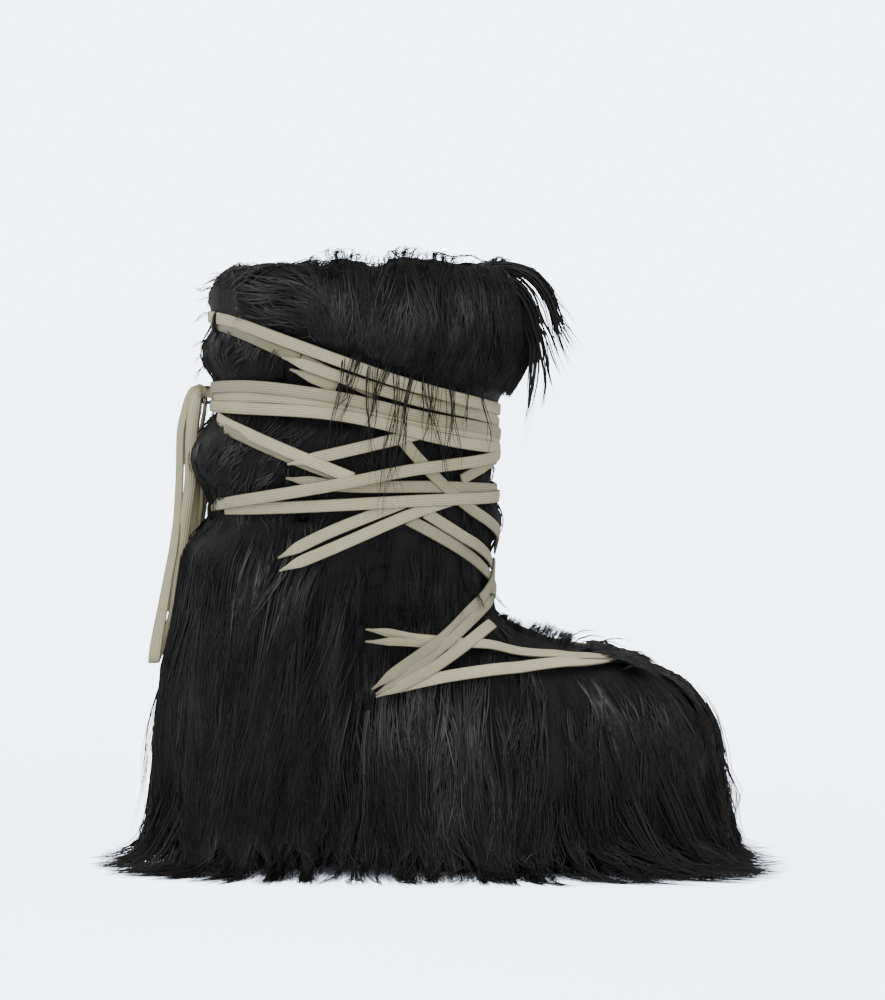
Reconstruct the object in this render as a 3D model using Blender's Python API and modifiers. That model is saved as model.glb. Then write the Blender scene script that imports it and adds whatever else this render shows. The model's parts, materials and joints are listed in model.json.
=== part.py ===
# Long-haired sheepskin boot, about size EU 40, laced round the shaft with a flat woven lace.
# Metres. +X points to the toe, +Z up, and the origin is on the floor under the middle of the sole.
# The last is straight, so every piece is the same on both sides of the plane y = 0.

import math
from collections import namedtuple

import bmesh
import bpy
from mathutils import Vector
from mathutils.bvhtree import BVHTree

# Driving sizes of the boot
MM = 0.001
LENGTH = 304 * MM           # outsole, heel to toe
BALL_HALF = 58 * MM         # half the outsole's width at the ball
HEEL_HALF = 45 * MM         # half the outsole's width at the heel
HIDE_HEIGHT = 340 * MM      # floor to the rim of the hide
HEEL_HEIGHT = 34 * MM       # outsole thickness under the heel
FOREPART_HEIGHT = 22 * MM   # outsole thickness under the ball
TOE_SPRING = 26 * MM
ARCH_RISE = 7 * MM
HIDE_WALL = 3 * MM          # hide with its felt lining
GAP = 0.3 * MM              # between pieces that touch
FUR_BITE = 2.5 * MM         # how far the fur reaches into the hide before it is cut to it
HEEL_X = -146 * MM          # rearmost point of the outsole
TOE_X = HEEL_X + LENGTH

# Where the bottom of the outsole leaves the floor
HEEL_REST_END = HEEL_X + 0.25 * LENGTH
FOREPART_REST_START = HEEL_X + 0.40 * LENGTH
TOE_LIFT_START = HEEL_X + 0.76 * LENGTH

# Rings of the hide from the sole up. Places along the boot are percent of LENGTH from the heel,
# heights percent of HIDE_HEIGHT, widths percent of the outsole's widths at ball and heel.
# square is the power of the ring's outline, and sag how far it follows the top of the sole.
Section = namedtuple("Section", "name front front_z back back_z ball heel square sag")
SECTIONS = (
    Section("feather", 97.4, 12.9, 1.6, 10.0, 94.0, 92.0, 2.5, 1.0),
    Section("toe wall", 99.7, 18.4, 0.3, 17.1, 98.3, 100.0, 2.5, 0.8),
    Section("toe box", 98.2, 24.0, 0.8, 24.7, 96.6, 104.4, 2.45, 0.5),
    Section("toe cap", 93.4, 28.8, 2.0, 31.8, 91.0, 108.9, 2.4, 0.2),
    Section("vamp", 84.9, 32.2, 3.3, 38.2, 88.0, 113.3, 2.35, 0.0),
    Section("vamp top", 75.0, 34.8, 4.6, 44.1, 89.0, 120.0, 2.3, 0.0),
    Section("instep", 66.4, 37.2, 5.6, 49.4, 93.1, 126.7, 2.25, 0.0),
    Section("bend", 59.6, 40.6, 6.2, 54.1, 100.0, 133.3, 2.2, 0.0),
    Section("ankle", 56.6, 45.9, 6.9, 58.8, 105.2, 137.8, 2.15, 0.0),
    Section("low shaft", 55.9, 54.4, 7.2, 65.3, 108.6, 140.0, 2.1, 0.0),
    Section("mid shaft", 56.9, 66.2, 7.2, 73.5, 111.2, 143.3, 2.1, 0.0),
    Section("high shaft", 57.6, 79.4, 7.2, 83.8, 112.9, 145.6, 2.1, 0.0),
    Section("collar", 58.9, 100.0, 7.9, 100.0, 115.5, 148.9, 2.1, 0.0),
)
RIM = len(SECTIONS) - 1

# Depth of the fur on the hide, in mm, where it leaves the leg at the rear, side and front.
# height is in mm above the floor. The laces press it flat between the bulges.
Depth = namedtuple("Depth", "height rear side front")
SKIRT_DEPTHS = (
    Depth(0, 34, 26, 12),
    Depth(20, 28, 23, 13),
    Depth(45, 24, 20, 12),
    Depth(70, 20, 18, 9),
    Depth(95, 18, 16, 10),
    Depth(120, 18, 13, 11),
    Depth(145, 17, 10, 7),
    Depth(165, 15, 8, 5),
    Depth(190, 9, 7, 6),
    Depth(205, 6, 6, 6),
)
SHAFT_DEPTHS = (
    Depth(130, 6, 5, 4),
    Depth(147, 7, 6, 7),
    Depth(165, 6, 5, 5),
    Depth(182, 6, 6, 6),
    Depth(199, 6, 7, 9),
    Depth(206, 5, 6, 6),
    Depth(222, 12, 8, 5),
    Depth(235, 15, 9, 5),
    Depth(250, 11, 7, 5),
    Depth(264, 4, 5, 5),
    Depth(280, 4, 6, 5),
    Depth(295, 10, 8, 5),
    Depth(312, 5, 7, 6),
    Depth(330, 6, 7, 6),
)
# Depth of the collar's fur from its lower edge (0) to its upper edge (1)
Collar = namedtuple("Collar", "share rear side front")
COLLAR_DEPTHS = (
    Collar(0.00, 7, 8, 8),
    Collar(0.18, 10, 13, 17),
    Collar(0.45, 11, 15, 25),
    Collar(0.75, 10, 13, 22),
    Collar(1.00, 5, 6, 11),
)
COLLAR_EDGE_REAR = 317 * MM
COLLAR_EDGE_FRONT = 270 * MM
COLLAR_TOP = 349 * MM
SHAFT_EDGE = 204 * MM       # the shaft's fur ends here behind the seam
ANKLE_EDGE = 138 * MM       # and here in front of it
SEAM_X = -46 * MM           # parting between the heel's fur and the foot's fur
HEM_HEIGHT = 1.2 * MM       # tips of the locks above the floor
HEM_WALL = 2.0 * MM         # thickness of the locks at their tips


def smooth(value):
    value = min(max(value, 0.0), 1.0)
    return value * value * (3 - 2 * value)


def spline(rows, position, column):
    """Catmull-Rom through one column of a table at a fractional row."""
    low = min(max(int(math.floor(position)), 0), len(rows) - 2)
    part = position - low
    near = [getattr(rows[min(max(low + step, 0), len(rows) - 1)], column) for step in (-1, 0, 1, 2)]
    slope_a = (near[2] - near[0]) / 2
    slope_b = (near[3] - near[1]) / 2
    rise = near[2] - near[1]
    return (near[1] + part * (slope_a + part * (3 * rise - 2 * slope_a - slope_b
            + part * (slope_a + slope_b - 2 * rise))))


def across(rows, key, value, column):
    """Straight interpolation of a column at a value of another column that rises row by row."""
    for low, high in zip(rows, rows[1:]):
        if value <= getattr(high, key):
            break
    span = getattr(high, key) - getattr(low, key)
    part = min(max((value - getattr(low, key)) / span, 0.0), 1.0)
    return getattr(low, column) + part * (getattr(high, column) - getattr(low, column))


def sole_bottom(x):
    lift = TOE_SPRING * max((x - TOE_LIFT_START) / (TOE_X - TOE_LIFT_START), 0.0) ** 1.7
    arch = (x - HEEL_REST_END) / (FOREPART_REST_START - HEEL_REST_END)
    if 0 < arch < 1:
        lift += ARCH_RISE * math.sin(math.pi * arch) ** 0.8
    return lift


def sole_top(x):
    share = smooth((x - HEEL_X - 0.22 * LENGTH) / (0.45 * LENGTH))
    spring = TOE_SPRING * max((x - TOE_LIFT_START) / (TOE_X - TOE_LIFT_START), 0.0) ** 1.7
    return HEEL_HEIGHT + (FOREPART_HEIGHT - HEEL_HEIGHT) * share + 0.8 * spring


def half_width(share, ball, heel, waist):
    """Half width of a ring at a share of its length from the back."""
    width = heel + (ball - heel) * smooth((share - 0.18) / 0.5)
    return width - waist * math.exp(-((share - 0.40) / 0.13) ** 2)


def oval(angle, power):
    """Share of the length from the back, and share of the half width, at an angle from the toe."""
    turn = math.cos(angle)
    side = math.sin(angle)
    return (0.5 + 0.5 * math.copysign(abs(turn) ** (2 / power), turn),
            math.copysign(abs(side) ** (2 / power), side))


def hide(angle, level):
    """A point of the hide's outer face: angle 0 at the front, pi at the back, level 0 at the sole."""
    value = {name: spline(SECTIONS, level, name) for name in Section._fields[1:]}
    share, side = oval(angle, value["square"])
    front = HEEL_X + value["front"] / 100 * LENGTH
    back = HEEL_X + value["back"] / 100 * LENGTH
    x = back + share * (front - back)
    waist = 3 * MM * max(1 - level / 4, 0.0)
    y = side * half_width(share, value["ball"] / 100 * BALL_HALF, value["heel"] / 100 * HEEL_HALF, waist)
    low = value["back_z"] / 100 * HIDE_HEIGHT
    high = value["front_z"] / 100 * HIDE_HEIGHT
    chord = sole_top(back) + share * (sole_top(front) - sole_top(back))
    z = low + share * (high - low) + value["sag"] * (sole_top(x) - chord)
    if level < 1:
        seat = sole_top(x) + GAP
        z = seat + (z - seat) * smooth(level)
    return Vector((x, y, z))


def outward(angle, level):
    """Unit vector that leaves the hide, from two short steps along its face."""
    step = 0.02
    low = min(max(level, 0.6), RIM - step)
    turn = hide(angle + step, low) - hide(angle - step, low)
    rise = hide(angle, low + step) - hide(angle, low - step)
    return turn.cross(rise).normalized()


def level_at(angle, height):
    """The level at which the hide reaches a height, by halving."""
    low, high = 0.0, float(RIM)
    for _ in range(24):
        middle = (low + high) / 2
        if hide(angle, middle).z < height:
            low = middle
        else:
            high = middle
    return (low + high) / 2


def angle_at(x, level):
    """The angle, between front and back, at which a ring reaches a place along the boot."""
    low, high = 0.0, math.pi
    for _ in range(24):
        middle = (low + high) / 2
        if hide(middle, level).x > x:
            low = middle
        else:
            high = middle
    return (low + high) / 2


def around(rear, side, front, angle):
    """One value from those at the rear, side and front."""
    turn = math.cos(angle)
    return side + ((front - side) * turn ** 2 if turn > 0 else (rear - side) * turn ** 2)


def depth(rows, key, value, angle):
    return MM * around(*(across(rows, key, value, name) for name in ("rear", "side", "front")), angle)


# Collections and materials

def collection(name, hidden=False):
    made = bpy.data.collections.new(name)
    bpy.context.scene.collection.children.link(made)
    made.hide_render = hidden
    return made


for old in list(bpy.data.objects):
    bpy.data.objects.remove(old, do_unlink=True)
BOOT = collection("sheepskin_boot")
CUTTERS = collection("cutters", hidden=True)


def material(name, colour, roughness, metallic=0.0):
    made = bpy.data.materials.new(name)
    made.use_nodes = True
    shader = made.node_tree.nodes["Principled BSDF"]
    shader.inputs["Base Color"].default_value = (*colour, 1)
    shader.inputs["Roughness"].default_value = roughness
    shader.inputs["Metallic"].default_value = metallic
    return made


RUBBER = material("black_rubber", (0.012, 0.012, 0.013), 0.6)
HIDE = material("black_hide", (0.010, 0.009, 0.010), 0.7)
FELT = material("grey_felt", (0.05, 0.048, 0.046), 0.95)
FUR = material("black_fur", (0.008, 0.008, 0.009), 0.45)
WEBBING = material("black_webbing", (0.010, 0.010, 0.011), 0.8)
LACE = material("khaki_lace", (0.43, 0.40, 0.27), 0.85)


def add_mesh(name, points, faces, skin, smooth_angle=40):
    """One object of closed faces, turned to point out and shaded smooth."""
    mesh = bpy.data.meshes.new(name)
    mesh.from_pydata([tuple(point) for point in points], [], faces)
    shape = bmesh.new()
    shape.from_mesh(mesh)
    bmesh.ops.recalc_face_normals(shape, faces=shape.faces)
    shape.to_mesh(mesh)
    shape.free()
    mesh.shade_smooth()
    mesh.set_sharp_from_angle(angle=math.radians(smooth_angle))
    made = bpy.data.objects.new(name, mesh)
    made.data.materials.append(skin)
    BOOT.objects.link(made)
    return made


def ring_faces(rows, columns, closed, start=0, halved=False):
    """Faces between neighbouring rows of a grid of points, each halved the same way if asked."""
    last = columns if closed else columns - 1
    faces = []
    for row in range(rows - 1):
        for column in range(last):
            beside = (column + 1) % columns
            low, high = start + row * columns, start + (row + 1) * columns
            if halved:
                faces.append((low + column, low + beside, high + beside))
                faces.append((low + column, high + beside, high + column))
            else:
                faces.append((low + column, low + beside, high + beside, high + column))
    return faces


def ladder_faces(columns, start):
    """Faces across a ring whose points mirror each other, so that the cap can bend with the sole."""
    faces = [(start, start + 1, start + columns - 1)]
    for column in range(1, columns // 2 - 1):
        faces.append((start + column, start + column + 1, start + columns - column - 1,
                      start + columns - column))
    half = columns // 2
    faces.append((start + half - 1, start + half, start + half + 1))
    return faces


def shell(name, rows, columns, place, closed, skin):
    """A closed wall between an inner and an outer grid, which place(row, column) returns as a pair."""
    pairs = [place(row, column) for row in range(rows) for column in range(columns)]
    count = rows * columns
    points = [outer for _, outer in pairs] + [inner for inner, _ in pairs]
    faces = ring_faces(rows, columns, closed)
    faces += [tuple(count + index for index in reversed(face)) for face in list(faces)]
    last = columns if closed else columns - 1
    for row in (0, rows - 1):
        for column in range(last):
            here = row * columns + column
            beside = row * columns + (column + 1) % columns
            faces.append((here, beside, count + beside, count + here))
    if not closed:
        for column in (0, columns - 1):
            for row in range(rows - 1):
                here = row * columns + column
                above = here + columns
                faces.append((here, above, count + above, count + here))
    return add_mesh(name, points, faces, skin)


# Outsole: rings from the tread up. inset is in mm from the outline, share is of the sole's height.
Step = namedtuple("Step", "share inset")
SOLE_STEPS = (
    Step(0.00, 2.5),
    Step(0.09, 0.0),
    Step(0.34, 0.0),
    Step(0.38, 2.2),
    Step(0.50, 2.2),
    Step(0.54, 0.4),
    Step(0.70, 0.4),
    Step(0.74, 2.0),
    Step(0.82, 2.0),
    Step(0.86, -0.6),
    Step(1.00, -0.6),
)
SOLE_COLUMNS = 36
LUG_PITCH = 15 * MM
LUG_GROOVE = 4.5 * MM
LUG_DEPTH = 3.5 * MM
FIRST_HEEL_GROOVE = HEEL_X + 22 * MM
FIRST_FORE_GROOVE = FOREPART_REST_START + 14 * MM
HEEL_GROOVES = 3
FORE_GROOVES = 8


def outline(angle, inset):
    """Plan of the outsole at an angle from the toe, moved in from its edge."""
    share, side = oval(angle, 2.5)
    y = side * half_width(share, BALL_HALF - inset, HEEL_HALF - inset, 4 * MM)
    return HEEL_X + inset + share * (LENGTH - 2 * inset), y


def even_angles(columns):
    """Angles that space points evenly round the outsole, mirrored, starting at the toe."""
    fine = 720
    path = [Vector(outline(2 * math.pi * index / fine, 0)) for index in range(fine + 1)]
    run = [0.0]
    for near, far in zip(path, path[1:]):
        run.append(run[-1] + (far - near).length)
    angles = []
    index = 0
    for column in range(columns):
        target = run[-1] * column / columns
        while run[index + 1] < target:
            index += 1
        part = (target - run[index]) / (run[index + 1] - run[index])
        angles.append(2 * math.pi * (index + part) / fine)
    return angles


def solid_rings(name, rings, skin):
    """A closed solid from equal rings, capped at both ends by ladders."""
    columns = len(rings[0])
    points = [point for ring in rings for point in ring]
    faces = ring_faces(len(rings), columns, True)
    faces += ladder_faces(columns, 0) + ladder_faces(columns, (len(rings) - 1) * columns)
    return add_mesh(name, points, faces, skin)


def outsole():
    angles = even_angles(SOLE_COLUMNS)
    rings = []
    for step in SOLE_STEPS:
        ring = []
        for angle in angles:
            x, y = outline(angle, step.inset * MM)
            low, high = sole_bottom(x), sole_top(x)
            ring.append((x, y, low + step.share * (high - low)))
        rings.append(ring)
    sole = solid_rings("outsole", rings, RUBBER)
    heel_grooves = [FIRST_HEEL_GROOVE + LUG_PITCH * index for index in range(HEEL_GROOVES)]
    fore_grooves = [FIRST_FORE_GROOVE + LUG_PITCH * index for index in range(FORE_GROOVES)]
    for index, x in enumerate(heel_grooves + fore_grooves):
        bpy.ops.mesh.primitive_cube_add(size=1, location=(0, 0, 0))
        groove = bpy.context.active_object
        groove.name = f"groove_{index + 1}"
        groove.data.transform(
            groove.matrix_world.Diagonal((LUG_GROOVE, 3 * BALL_HALF, 2 * LUG_DEPTH)).to_4x4())
        groove.location = (x, 0, sole_bottom(x))
        slope = (sole_bottom(x + LUG_GROOVE) - sole_bottom(x - LUG_GROOVE)) / (2 * LUG_GROOVE)
        groove.rotation_euler.y = -math.atan(slope)
        groove.hide_render = True
        groove.display_type = "WIRE"
        for home in list(groove.users_collection):
            home.objects.unlink(groove)
        CUTTERS.objects.link(groove)
        cut = sole.modifiers.new(groove.name, "BOOLEAN")
        cut.operation = "DIFFERENCE"
        cut.solver = "EXACT"
        cut.object = groove
    return sole


# Upper: the hide's rings, with a real wall inwards

UPPER_COLUMNS = 32
UPPER_ROWS = 14
EVEN_ANGLES = even_angles(UPPER_COLUMNS)
FINE_ANGLES = even_angles(360)


def hide_angle(column, level):
    """Even spacing round the foot, which turns into equal angles up the shaft."""
    plain = 2 * math.pi * column / UPPER_COLUMNS
    even = EVEN_ANGLES[column]
    return even + (plain - even) * smooth(level / 7)


def hide_grid(offset):
    points = []
    for row in range(UPPER_ROWS):
        level = RIM * row / (UPPER_ROWS - 1)
        for column in range(UPPER_COLUMNS):
            angle = hide_angle(column, level)
            points.append(hide(angle, level) + outward(angle, level) * offset)
    return points


def upper():
    boot = add_mesh("upper", hide_grid(0), ring_faces(UPPER_ROWS, UPPER_COLUMNS, True, halved=True), HIDE)
    wall = boot.modifiers.new("wall", "SOLIDIFY")
    wall.thickness = HIDE_WALL
    wall.offset = -1
    return boot


def hide_form():
    """The hide's outer form, a gap larger and longer at both ends, which the fur is cut to."""
    points = hide_grid(GAP)
    count = UPPER_COLUMNS
    foot = [point - Vector((0, 0, 6 * MM)) for point in points[:count]]
    head = [point + Vector((0, 0, 40 * MM)) for point in points[-count:]]
    points = foot + points + head
    rows = UPPER_ROWS + 2
    faces = ring_faces(rows, count, True, halved=True)
    faces += ladder_faces(count, 0) + ladder_faces(count, (rows - 1) * count)
    form = add_mesh("hide_form", points, faces, HIDE)
    BOOT.objects.unlink(form)
    CUTTERS.objects.link(form)
    form.hide_render = True
    form.display_type = "WIRE"
    return form


def cut_to_hide(fur, form):
    cut = fur.modifiers.new("hide", "BOOLEAN")
    cut.operation = "DIFFERENCE"
    cut.solver = "EXACT"
    cut.object = form


INSOLE_THICKNESS = 5 * MM
INSOLE_INSET = HIDE_WALL + 1.2 * MM


def insole():
    rings = []
    for lift in (GAP, INSOLE_THICKNESS):
        ring = []
        for angle in EVEN_ANGLES:
            step = hide(angle + 0.02, 0) - hide(angle - 0.02, 0)
            inward = Vector((-step.y, step.x, 0)).normalized()
            x, y, _ = hide(angle, 0) + inward * INSOLE_INSET
            ring.append((x, y, sole_top(x) + lift))
        rings.append(ring)
    return solid_rings("insole", rings, FELT)


# Fur: walls on the hide whose outer faces are grooved into locks, with pointed hems

LOCK_RIDGE = 0.22           # how much deeper a lock is than the parting beside it


def lock(column, strength=LOCK_RIDGE):
    return 1 + strength if column % 2 else 1 - strength


def collar_edge(angle):
    share = smooth((1 + math.cos(angle)) / 2)
    return COLLAR_EDGE_REAR + share * (COLLAR_EDGE_FRONT - COLLAR_EDGE_REAR)


COLLAR_COLUMNS = 34
COLLAR_ROWS = 6


def fur_collar():
    tuft = (3, 8, 1, 9, 4, 7, 2, 6)

    def place(row, column):
        angle = 2 * math.pi * column / COLLAR_COLUMNS
        share = row / (COLLAR_ROWS - 1)
        height = collar_edge(angle) + share * (COLLAR_TOP - collar_edge(angle))
        level = level_at(angle, min(height, HIDE_HEIGHT))
        face = hide(angle, level)
        out = outward(angle, level)
        out.z = 0
        out.normalize()
        face.z = height
        thick = depth(COLLAR_DEPTHS, "share", share, angle)
        if 0 < row < COLLAR_ROWS - 1:
            thick *= lock(column, 0.14)
        inner = face - out * FUR_BITE
        outer = face + out * thick
        if row == COLLAR_ROWS - 1:
            point = tuft[column % len(tuft)] * MM
            inner.z += point
            outer.z += point - 3 * MM
        return inner, outer

    return shell("fur_collar", COLLAR_ROWS, COLLAR_COLUMNS, place, True, FUR)


# Long locks of the collar's front, which arch out over the lace. Lengths and places are in mm.
Strand = namedtuple("Strand", "name angle height reach drop width")
QUIFF = (
    Strand("quiff_1", 3, 341, 44, 54, 10),
    Strand("quiff_2", -15, 338, 37, 74, 9),
    Strand("quiff_3", 21, 337, 34, 64, 9),
)


def add_locks(fur):
    """Arched tapering locks, joined to the collar."""
    for strand in QUIFF:
        angle = math.radians(strand.angle)
        root = hide(angle, level_at(angle, HIDE_HEIGHT))
        out = Vector((math.cos(angle), math.sin(angle), 0))
        start = root + out * 8 * MM
        start.z = strand.height * MM
        curve = bpy.data.curves.new(strand.name, "CURVE")
        curve.dimensions = "3D"
        curve.bevel_depth = strand.width * MM / 2
        curve.bevel_resolution = 0
        curve.use_fill_caps = True
        line = curve.splines.new("POLY")
        steps = 7
        line.points.add(steps - 1)
        for index, point in enumerate(line.points):
            share = index / (steps - 1)
            arch = math.sin(share * math.pi / 2)
            fall = strand.drop * MM * share ** 2.6
            spot = start + out * (strand.reach * MM * arch) + Vector((0, 0, 6 * MM * share - fall))
            point.co = (*spot, 1)
            point.radius = 1.15 - share
        tube = bpy.data.objects.new(strand.name, curve)
        CUTTERS.objects.link(tube)
        bpy.context.view_layer.update()
        baked = bpy.data.meshes.new_from_object(tube.evaluated_get(bpy.context.evaluated_depsgraph_get()))
        bpy.data.objects.remove(tube)
        shape = bmesh.new()
        shape.from_mesh(baked)
        bmesh.ops.remove_doubles(shape, verts=shape.verts, dist=0.01 * MM)
        bmesh.ops.recalc_face_normals(shape, faces=shape.faces)
        shape.to_mesh(baked)
        shape.free()
        piece = bpy.data.objects.new(strand.name, baked)
        piece.hide_render = True
        piece.display_type = "WIRE"
        CUTTERS.objects.link(piece)
        join = fur.modifiers.new(strand.name, "BOOLEAN")
        join.operation = "UNION"
        join.solver = "EXACT"
        join.object = piece


SHAFT_FRONT_COLUMNS = 13
SHAFT_REAR_COLUMNS = 15
SHAFT_ROWS = 11


def shaft_column(column, height):
    """Angle, level and lower edge of a column: two of them stand side by side at each parting."""
    level = 9.0
    for _ in range(4):
        if column < SHAFT_FRONT_COLUMNS:
            share = 2 * column / (SHAFT_FRONT_COLUMNS - 1) - 1
            angle = share * angle_at(SEAM_X + 0.6 * MM, level)
        else:
            share = 2 * (column - SHAFT_FRONT_COLUMNS) / (SHAFT_REAR_COLUMNS - 1) - 1
            angle = math.pi + share * (math.pi - angle_at(SEAM_X, level))
        level = level_at(angle, height)
    return angle, level


def fur_shaft():
    """The laced fur, down to the ankle in front of the parting and to the heel's fur behind it."""
    def place(row, column):
        low = ANKLE_EDGE if column < SHAFT_FRONT_COLUMNS else SHAFT_EDGE
        top, _ = shaft_column(column, COLLAR_EDGE_FRONT)
        high = collar_edge(top) - 1.0 * MM
        height = low + (high - low) * row / (SHAFT_ROWS - 1)
        angle, level = shaft_column(column, height)
        face = hide(angle, level)
        out = outward(angle, level)
        thick = depth(SHAFT_DEPTHS, "height", height / MM, angle)
        if row == 0:
            thick *= 0.6
        return face - out * FUR_BITE, face + out * thick

    columns = SHAFT_FRONT_COLUMNS + SHAFT_REAR_COLUMNS
    return shell("fur_shaft", SHAFT_ROWS, columns, place, True, FUR)


# Skirts: the heel's fur and the foot's fur fall past the sole to the floor

SKIRT_LEVELS = (0.0, -0.4, -0.75, -1.0)   # below the feather line, -1 at the floor
TIP_SPLAY_REAR = 16 * MM
TIP_SPLAY_SIDE = 13 * MM
TIP_SPLAY_FRONT = 19 * MM


def skirt_point(angle, level, column):
    """Inner and outer point of a skirt, on the hide above the sole and clear of the sole below."""
    ridge = lock(column)
    if level >= 0.5:
        face = hide(angle, level)
        out = outward(angle, level)
        thick = depth(SKIRT_DEPTHS, "height", face.z / MM, angle) * ridge
        return face - out * FUR_BITE, face + out * thick
    x, y = outline(angle, 0)
    near = Vector((*outline(angle - 0.02, 0), 0))
    far = Vector((*outline(angle + 0.02, 0), 0))
    out = (far - near).cross(Vector((0, 0, 1))).normalized()
    feather = sole_top(x) + 1.2 * MM
    hem = HEM_HEIGHT if column % 2 else 13 * MM
    share = -level
    start = hide(angle, 0.5)
    base = Vector((start.x + (x - start.x) * share, start.y + (y - start.y) * share, 0))
    base.z = feather + (hem - feather) * share
    thick = depth(SKIRT_DEPTHS, "height", base.z / MM, angle) * ridge
    splay = 0.0
    if column % 2:
        splay = around(TIP_SPLAY_REAR, TIP_SPLAY_SIDE, TIP_SPLAY_FRONT, angle) * share ** 3
    clear = (x - base.x) * out.x + (y - base.y) * out.y + (1.6 + 1.2 * share) * MM
    edge = thick + splay
    wall = HEM_WALL + (edge - clear - HEM_WALL) * (1 - share) ** 1.2
    return base + out * (edge - wall), base + out * edge


FOOT_COLUMNS = 39
HEEL_COLUMNS = 25
ANKLE_LEVELS = 6


def column_levels(angle, top):
    """Levels from the floor up to the top edge of a skirt, in equal steps on the hide."""
    levels = list(reversed(SKIRT_LEVELS))
    levels += [0.5 + (top - 0.5) * index / (ANKLE_LEVELS - 1) for index in range(ANKLE_LEVELS)]
    return levels


def run_at(angle):
    """Share of the outsole's outline between the toe and an angle, by halving."""
    low, high = 0.0, 0.5
    for _ in range(20):
        middle = (low + high) / 2
        if angle_of_run(middle) < angle:
            low = middle
        else:
            high = middle
    return (low + high) / 2


def angle_of_run(run):
    place = abs(run) * len(FINE_ANGLES)
    index = min(int(place), len(FINE_ANGLES) - 2)
    part = place - index
    angle = FINE_ANGLES[index] + part * (FINE_ANGLES[index + 1] - FINE_ANGLES[index])
    return math.copysign(angle, run)


def foot_angle(column, level):
    """Angle of a column of the foot's fur, which ends at the parting on both sides."""
    limit = angle_at(SEAM_X + 0.5 * MM, max(level, 0))
    share = 2 * column / (FOOT_COLUMNS - 1) - 1
    even = angle_of_run(share * run_at(limit))
    return even + (share * limit - even) * smooth(level / 7)


def fur_foot():
    def place(row, column):
        rough = foot_angle(column, 5)
        top = level_at(rough, ANKLE_EDGE - 0.8 * MM)
        level = column_levels(rough, top)[row]
        angle = foot_angle(column, level)
        return skirt_point(angle, level, column)

    return shell("fur_foot", len(SKIRT_LEVELS) + ANKLE_LEVELS, FOOT_COLUMNS, place, False, FUR)


def heel_angle(column, level):
    """Angle of a column of the heel's fur, between the partings round the back."""
    limit = angle_at(SEAM_X - 0.5 * MM, max(level, 0))
    share = 2 * column / (HEEL_COLUMNS - 1) - 1
    run = math.copysign(0.5 - abs(share) * (0.5 - run_at(limit)), share)
    even = math.pi + math.copysign(math.pi - angle_of_run(abs(run)), share)
    plain = math.pi + share * (math.pi - limit)
    return even + (plain - even) * smooth(level / 9)


def fur_heel():
    def place(row, column):
        rough = heel_angle(column, 9)
        top = level_at(rough, SHAFT_EDGE - 0.8 * MM)
        level = column_levels(rough, top)[row]
        angle = heel_angle(column, level)
        return skirt_point(angle, level, column)

    return shell("fur_heel", len(SKIRT_LEVELS) + ANKLE_LEVELS, HEEL_COLUMNS, place, False, FUR)


# Lace: a flat woven strip. Its runs lie on the fur as seen from the side, and the far side mirrors
# the near one. Places are in mm along the boot and up, on the plane y = 0, sighted from EYE.
EYE = Vector((3 * MM, -2600 * MM, 330 * MM))
LACE_WIDTH = 8 * MM
LACE_THICKNESS = 2.0 * MM
LACE_CLEAR = 0.8 * MM
LAYER = 0.7 * MM            # rise of a strip that crosses over another
LACE_STEP = 25 * MM
CRUMB_FACES = 40
FLAT_DEGREES = 4.0          # faces that meet flatter than this are made one
Run = namedtuple("Run", "name layer start end places")
RUNS = (
    Run("top band", 1.0, "rear", "front", ((-127, 316), (-108, 311), (-72, 298), (-21, 279), (13, 269),
        (30, 265))),
    Run("second band", 0.2, "loop", "front", ((-86, 297), (-52, 282), (-10, 269), (22, 260))),
    Run("knot band", 2.1, "rear", "front", ((-128, 276), (-100, 276), (-52, 270), (-10, 261), (26, 254))),
    Run("low knot band", 1.5, "rear", "front", ((-128, 266), (-100, 264), (-64, 262), (-37, 256), (2, 247))),
    Run("falling run", 0.0, "rear", "loop", ((-126, 259), (-96, 245), (-72, 235), (-42, 221))),
    Run("rising run", 0.9, "loop", "loop", ((-85, 232), (-60, 238), (-27, 246), (-2, 254))),
    Run("middle band", 1.9, "rear", "front", ((-128, 207), (-97, 213), (-44, 223), (-12, 230), (24, 237))),
    Run("low band", 1.2, "rear", "front", ((-128, 203), (-97, 206), (-32, 210), (8, 212), (28, 214))),
    Run("crossing run", 0.0, "loop", "front", ((-24, 248), (5, 216), (22, 199), (31, 188))),
    Run("upper tail", 1.0, "loop", "loop", ((-90, 178), (-62, 193), (-20, 213))),
    Run("lower tail", 0.8, "loop", "loop", ((-89, 170), (-50, 187), (-16, 203), (8, 212))),
    Run("front run", 0.6, "loop", "front", ((-20, 201), (8, 185), (26, 168))),
    Run("instep run", 1.5, "front", "loop", ((29, 168), (12, 142), (-12, 121), (-37, 102))),
    Run("lower instep run", 1.0, "front", "loop", ((28, 134), (13, 121), (-13, 106), (-36, 98))),
    Run("ankle run", 0.4, "loop", "toe", ((-41, 135), (-23, 136), (-1, 132), (24, 124), (66, 122), (96, 121))),
    Run("vamp run", 0.2, "loop", "toe", ((-36, 99), (-14, 106), (14, 111), (38, 114), (70, 117), (96, 119))),
)
TOE_LOOP_X = 106 * MM


def fur_tree():
    """The outer faces of all the fur, for laying the lace on it."""
    points, faces = [], []
    for name in ("fur_collar", "fur_shaft", "fur_foot", "fur_heel"):
        mesh = bpy.data.objects[name].data
        start = len(points)
        points += [vertex.co.copy() for vertex in mesh.vertices]
        faces += [[start + index for index in face.vertices] for face in mesh.polygons]
    return BVHTree.FromPolygons(points, faces)


def hide_tree():
    mesh = bpy.data.objects["hide_form"].data
    return BVHTree.FromPolygons([vertex.co.copy() for vertex in mesh.vertices],
                                [list(face.vertices) for face in mesh.polygons])


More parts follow.
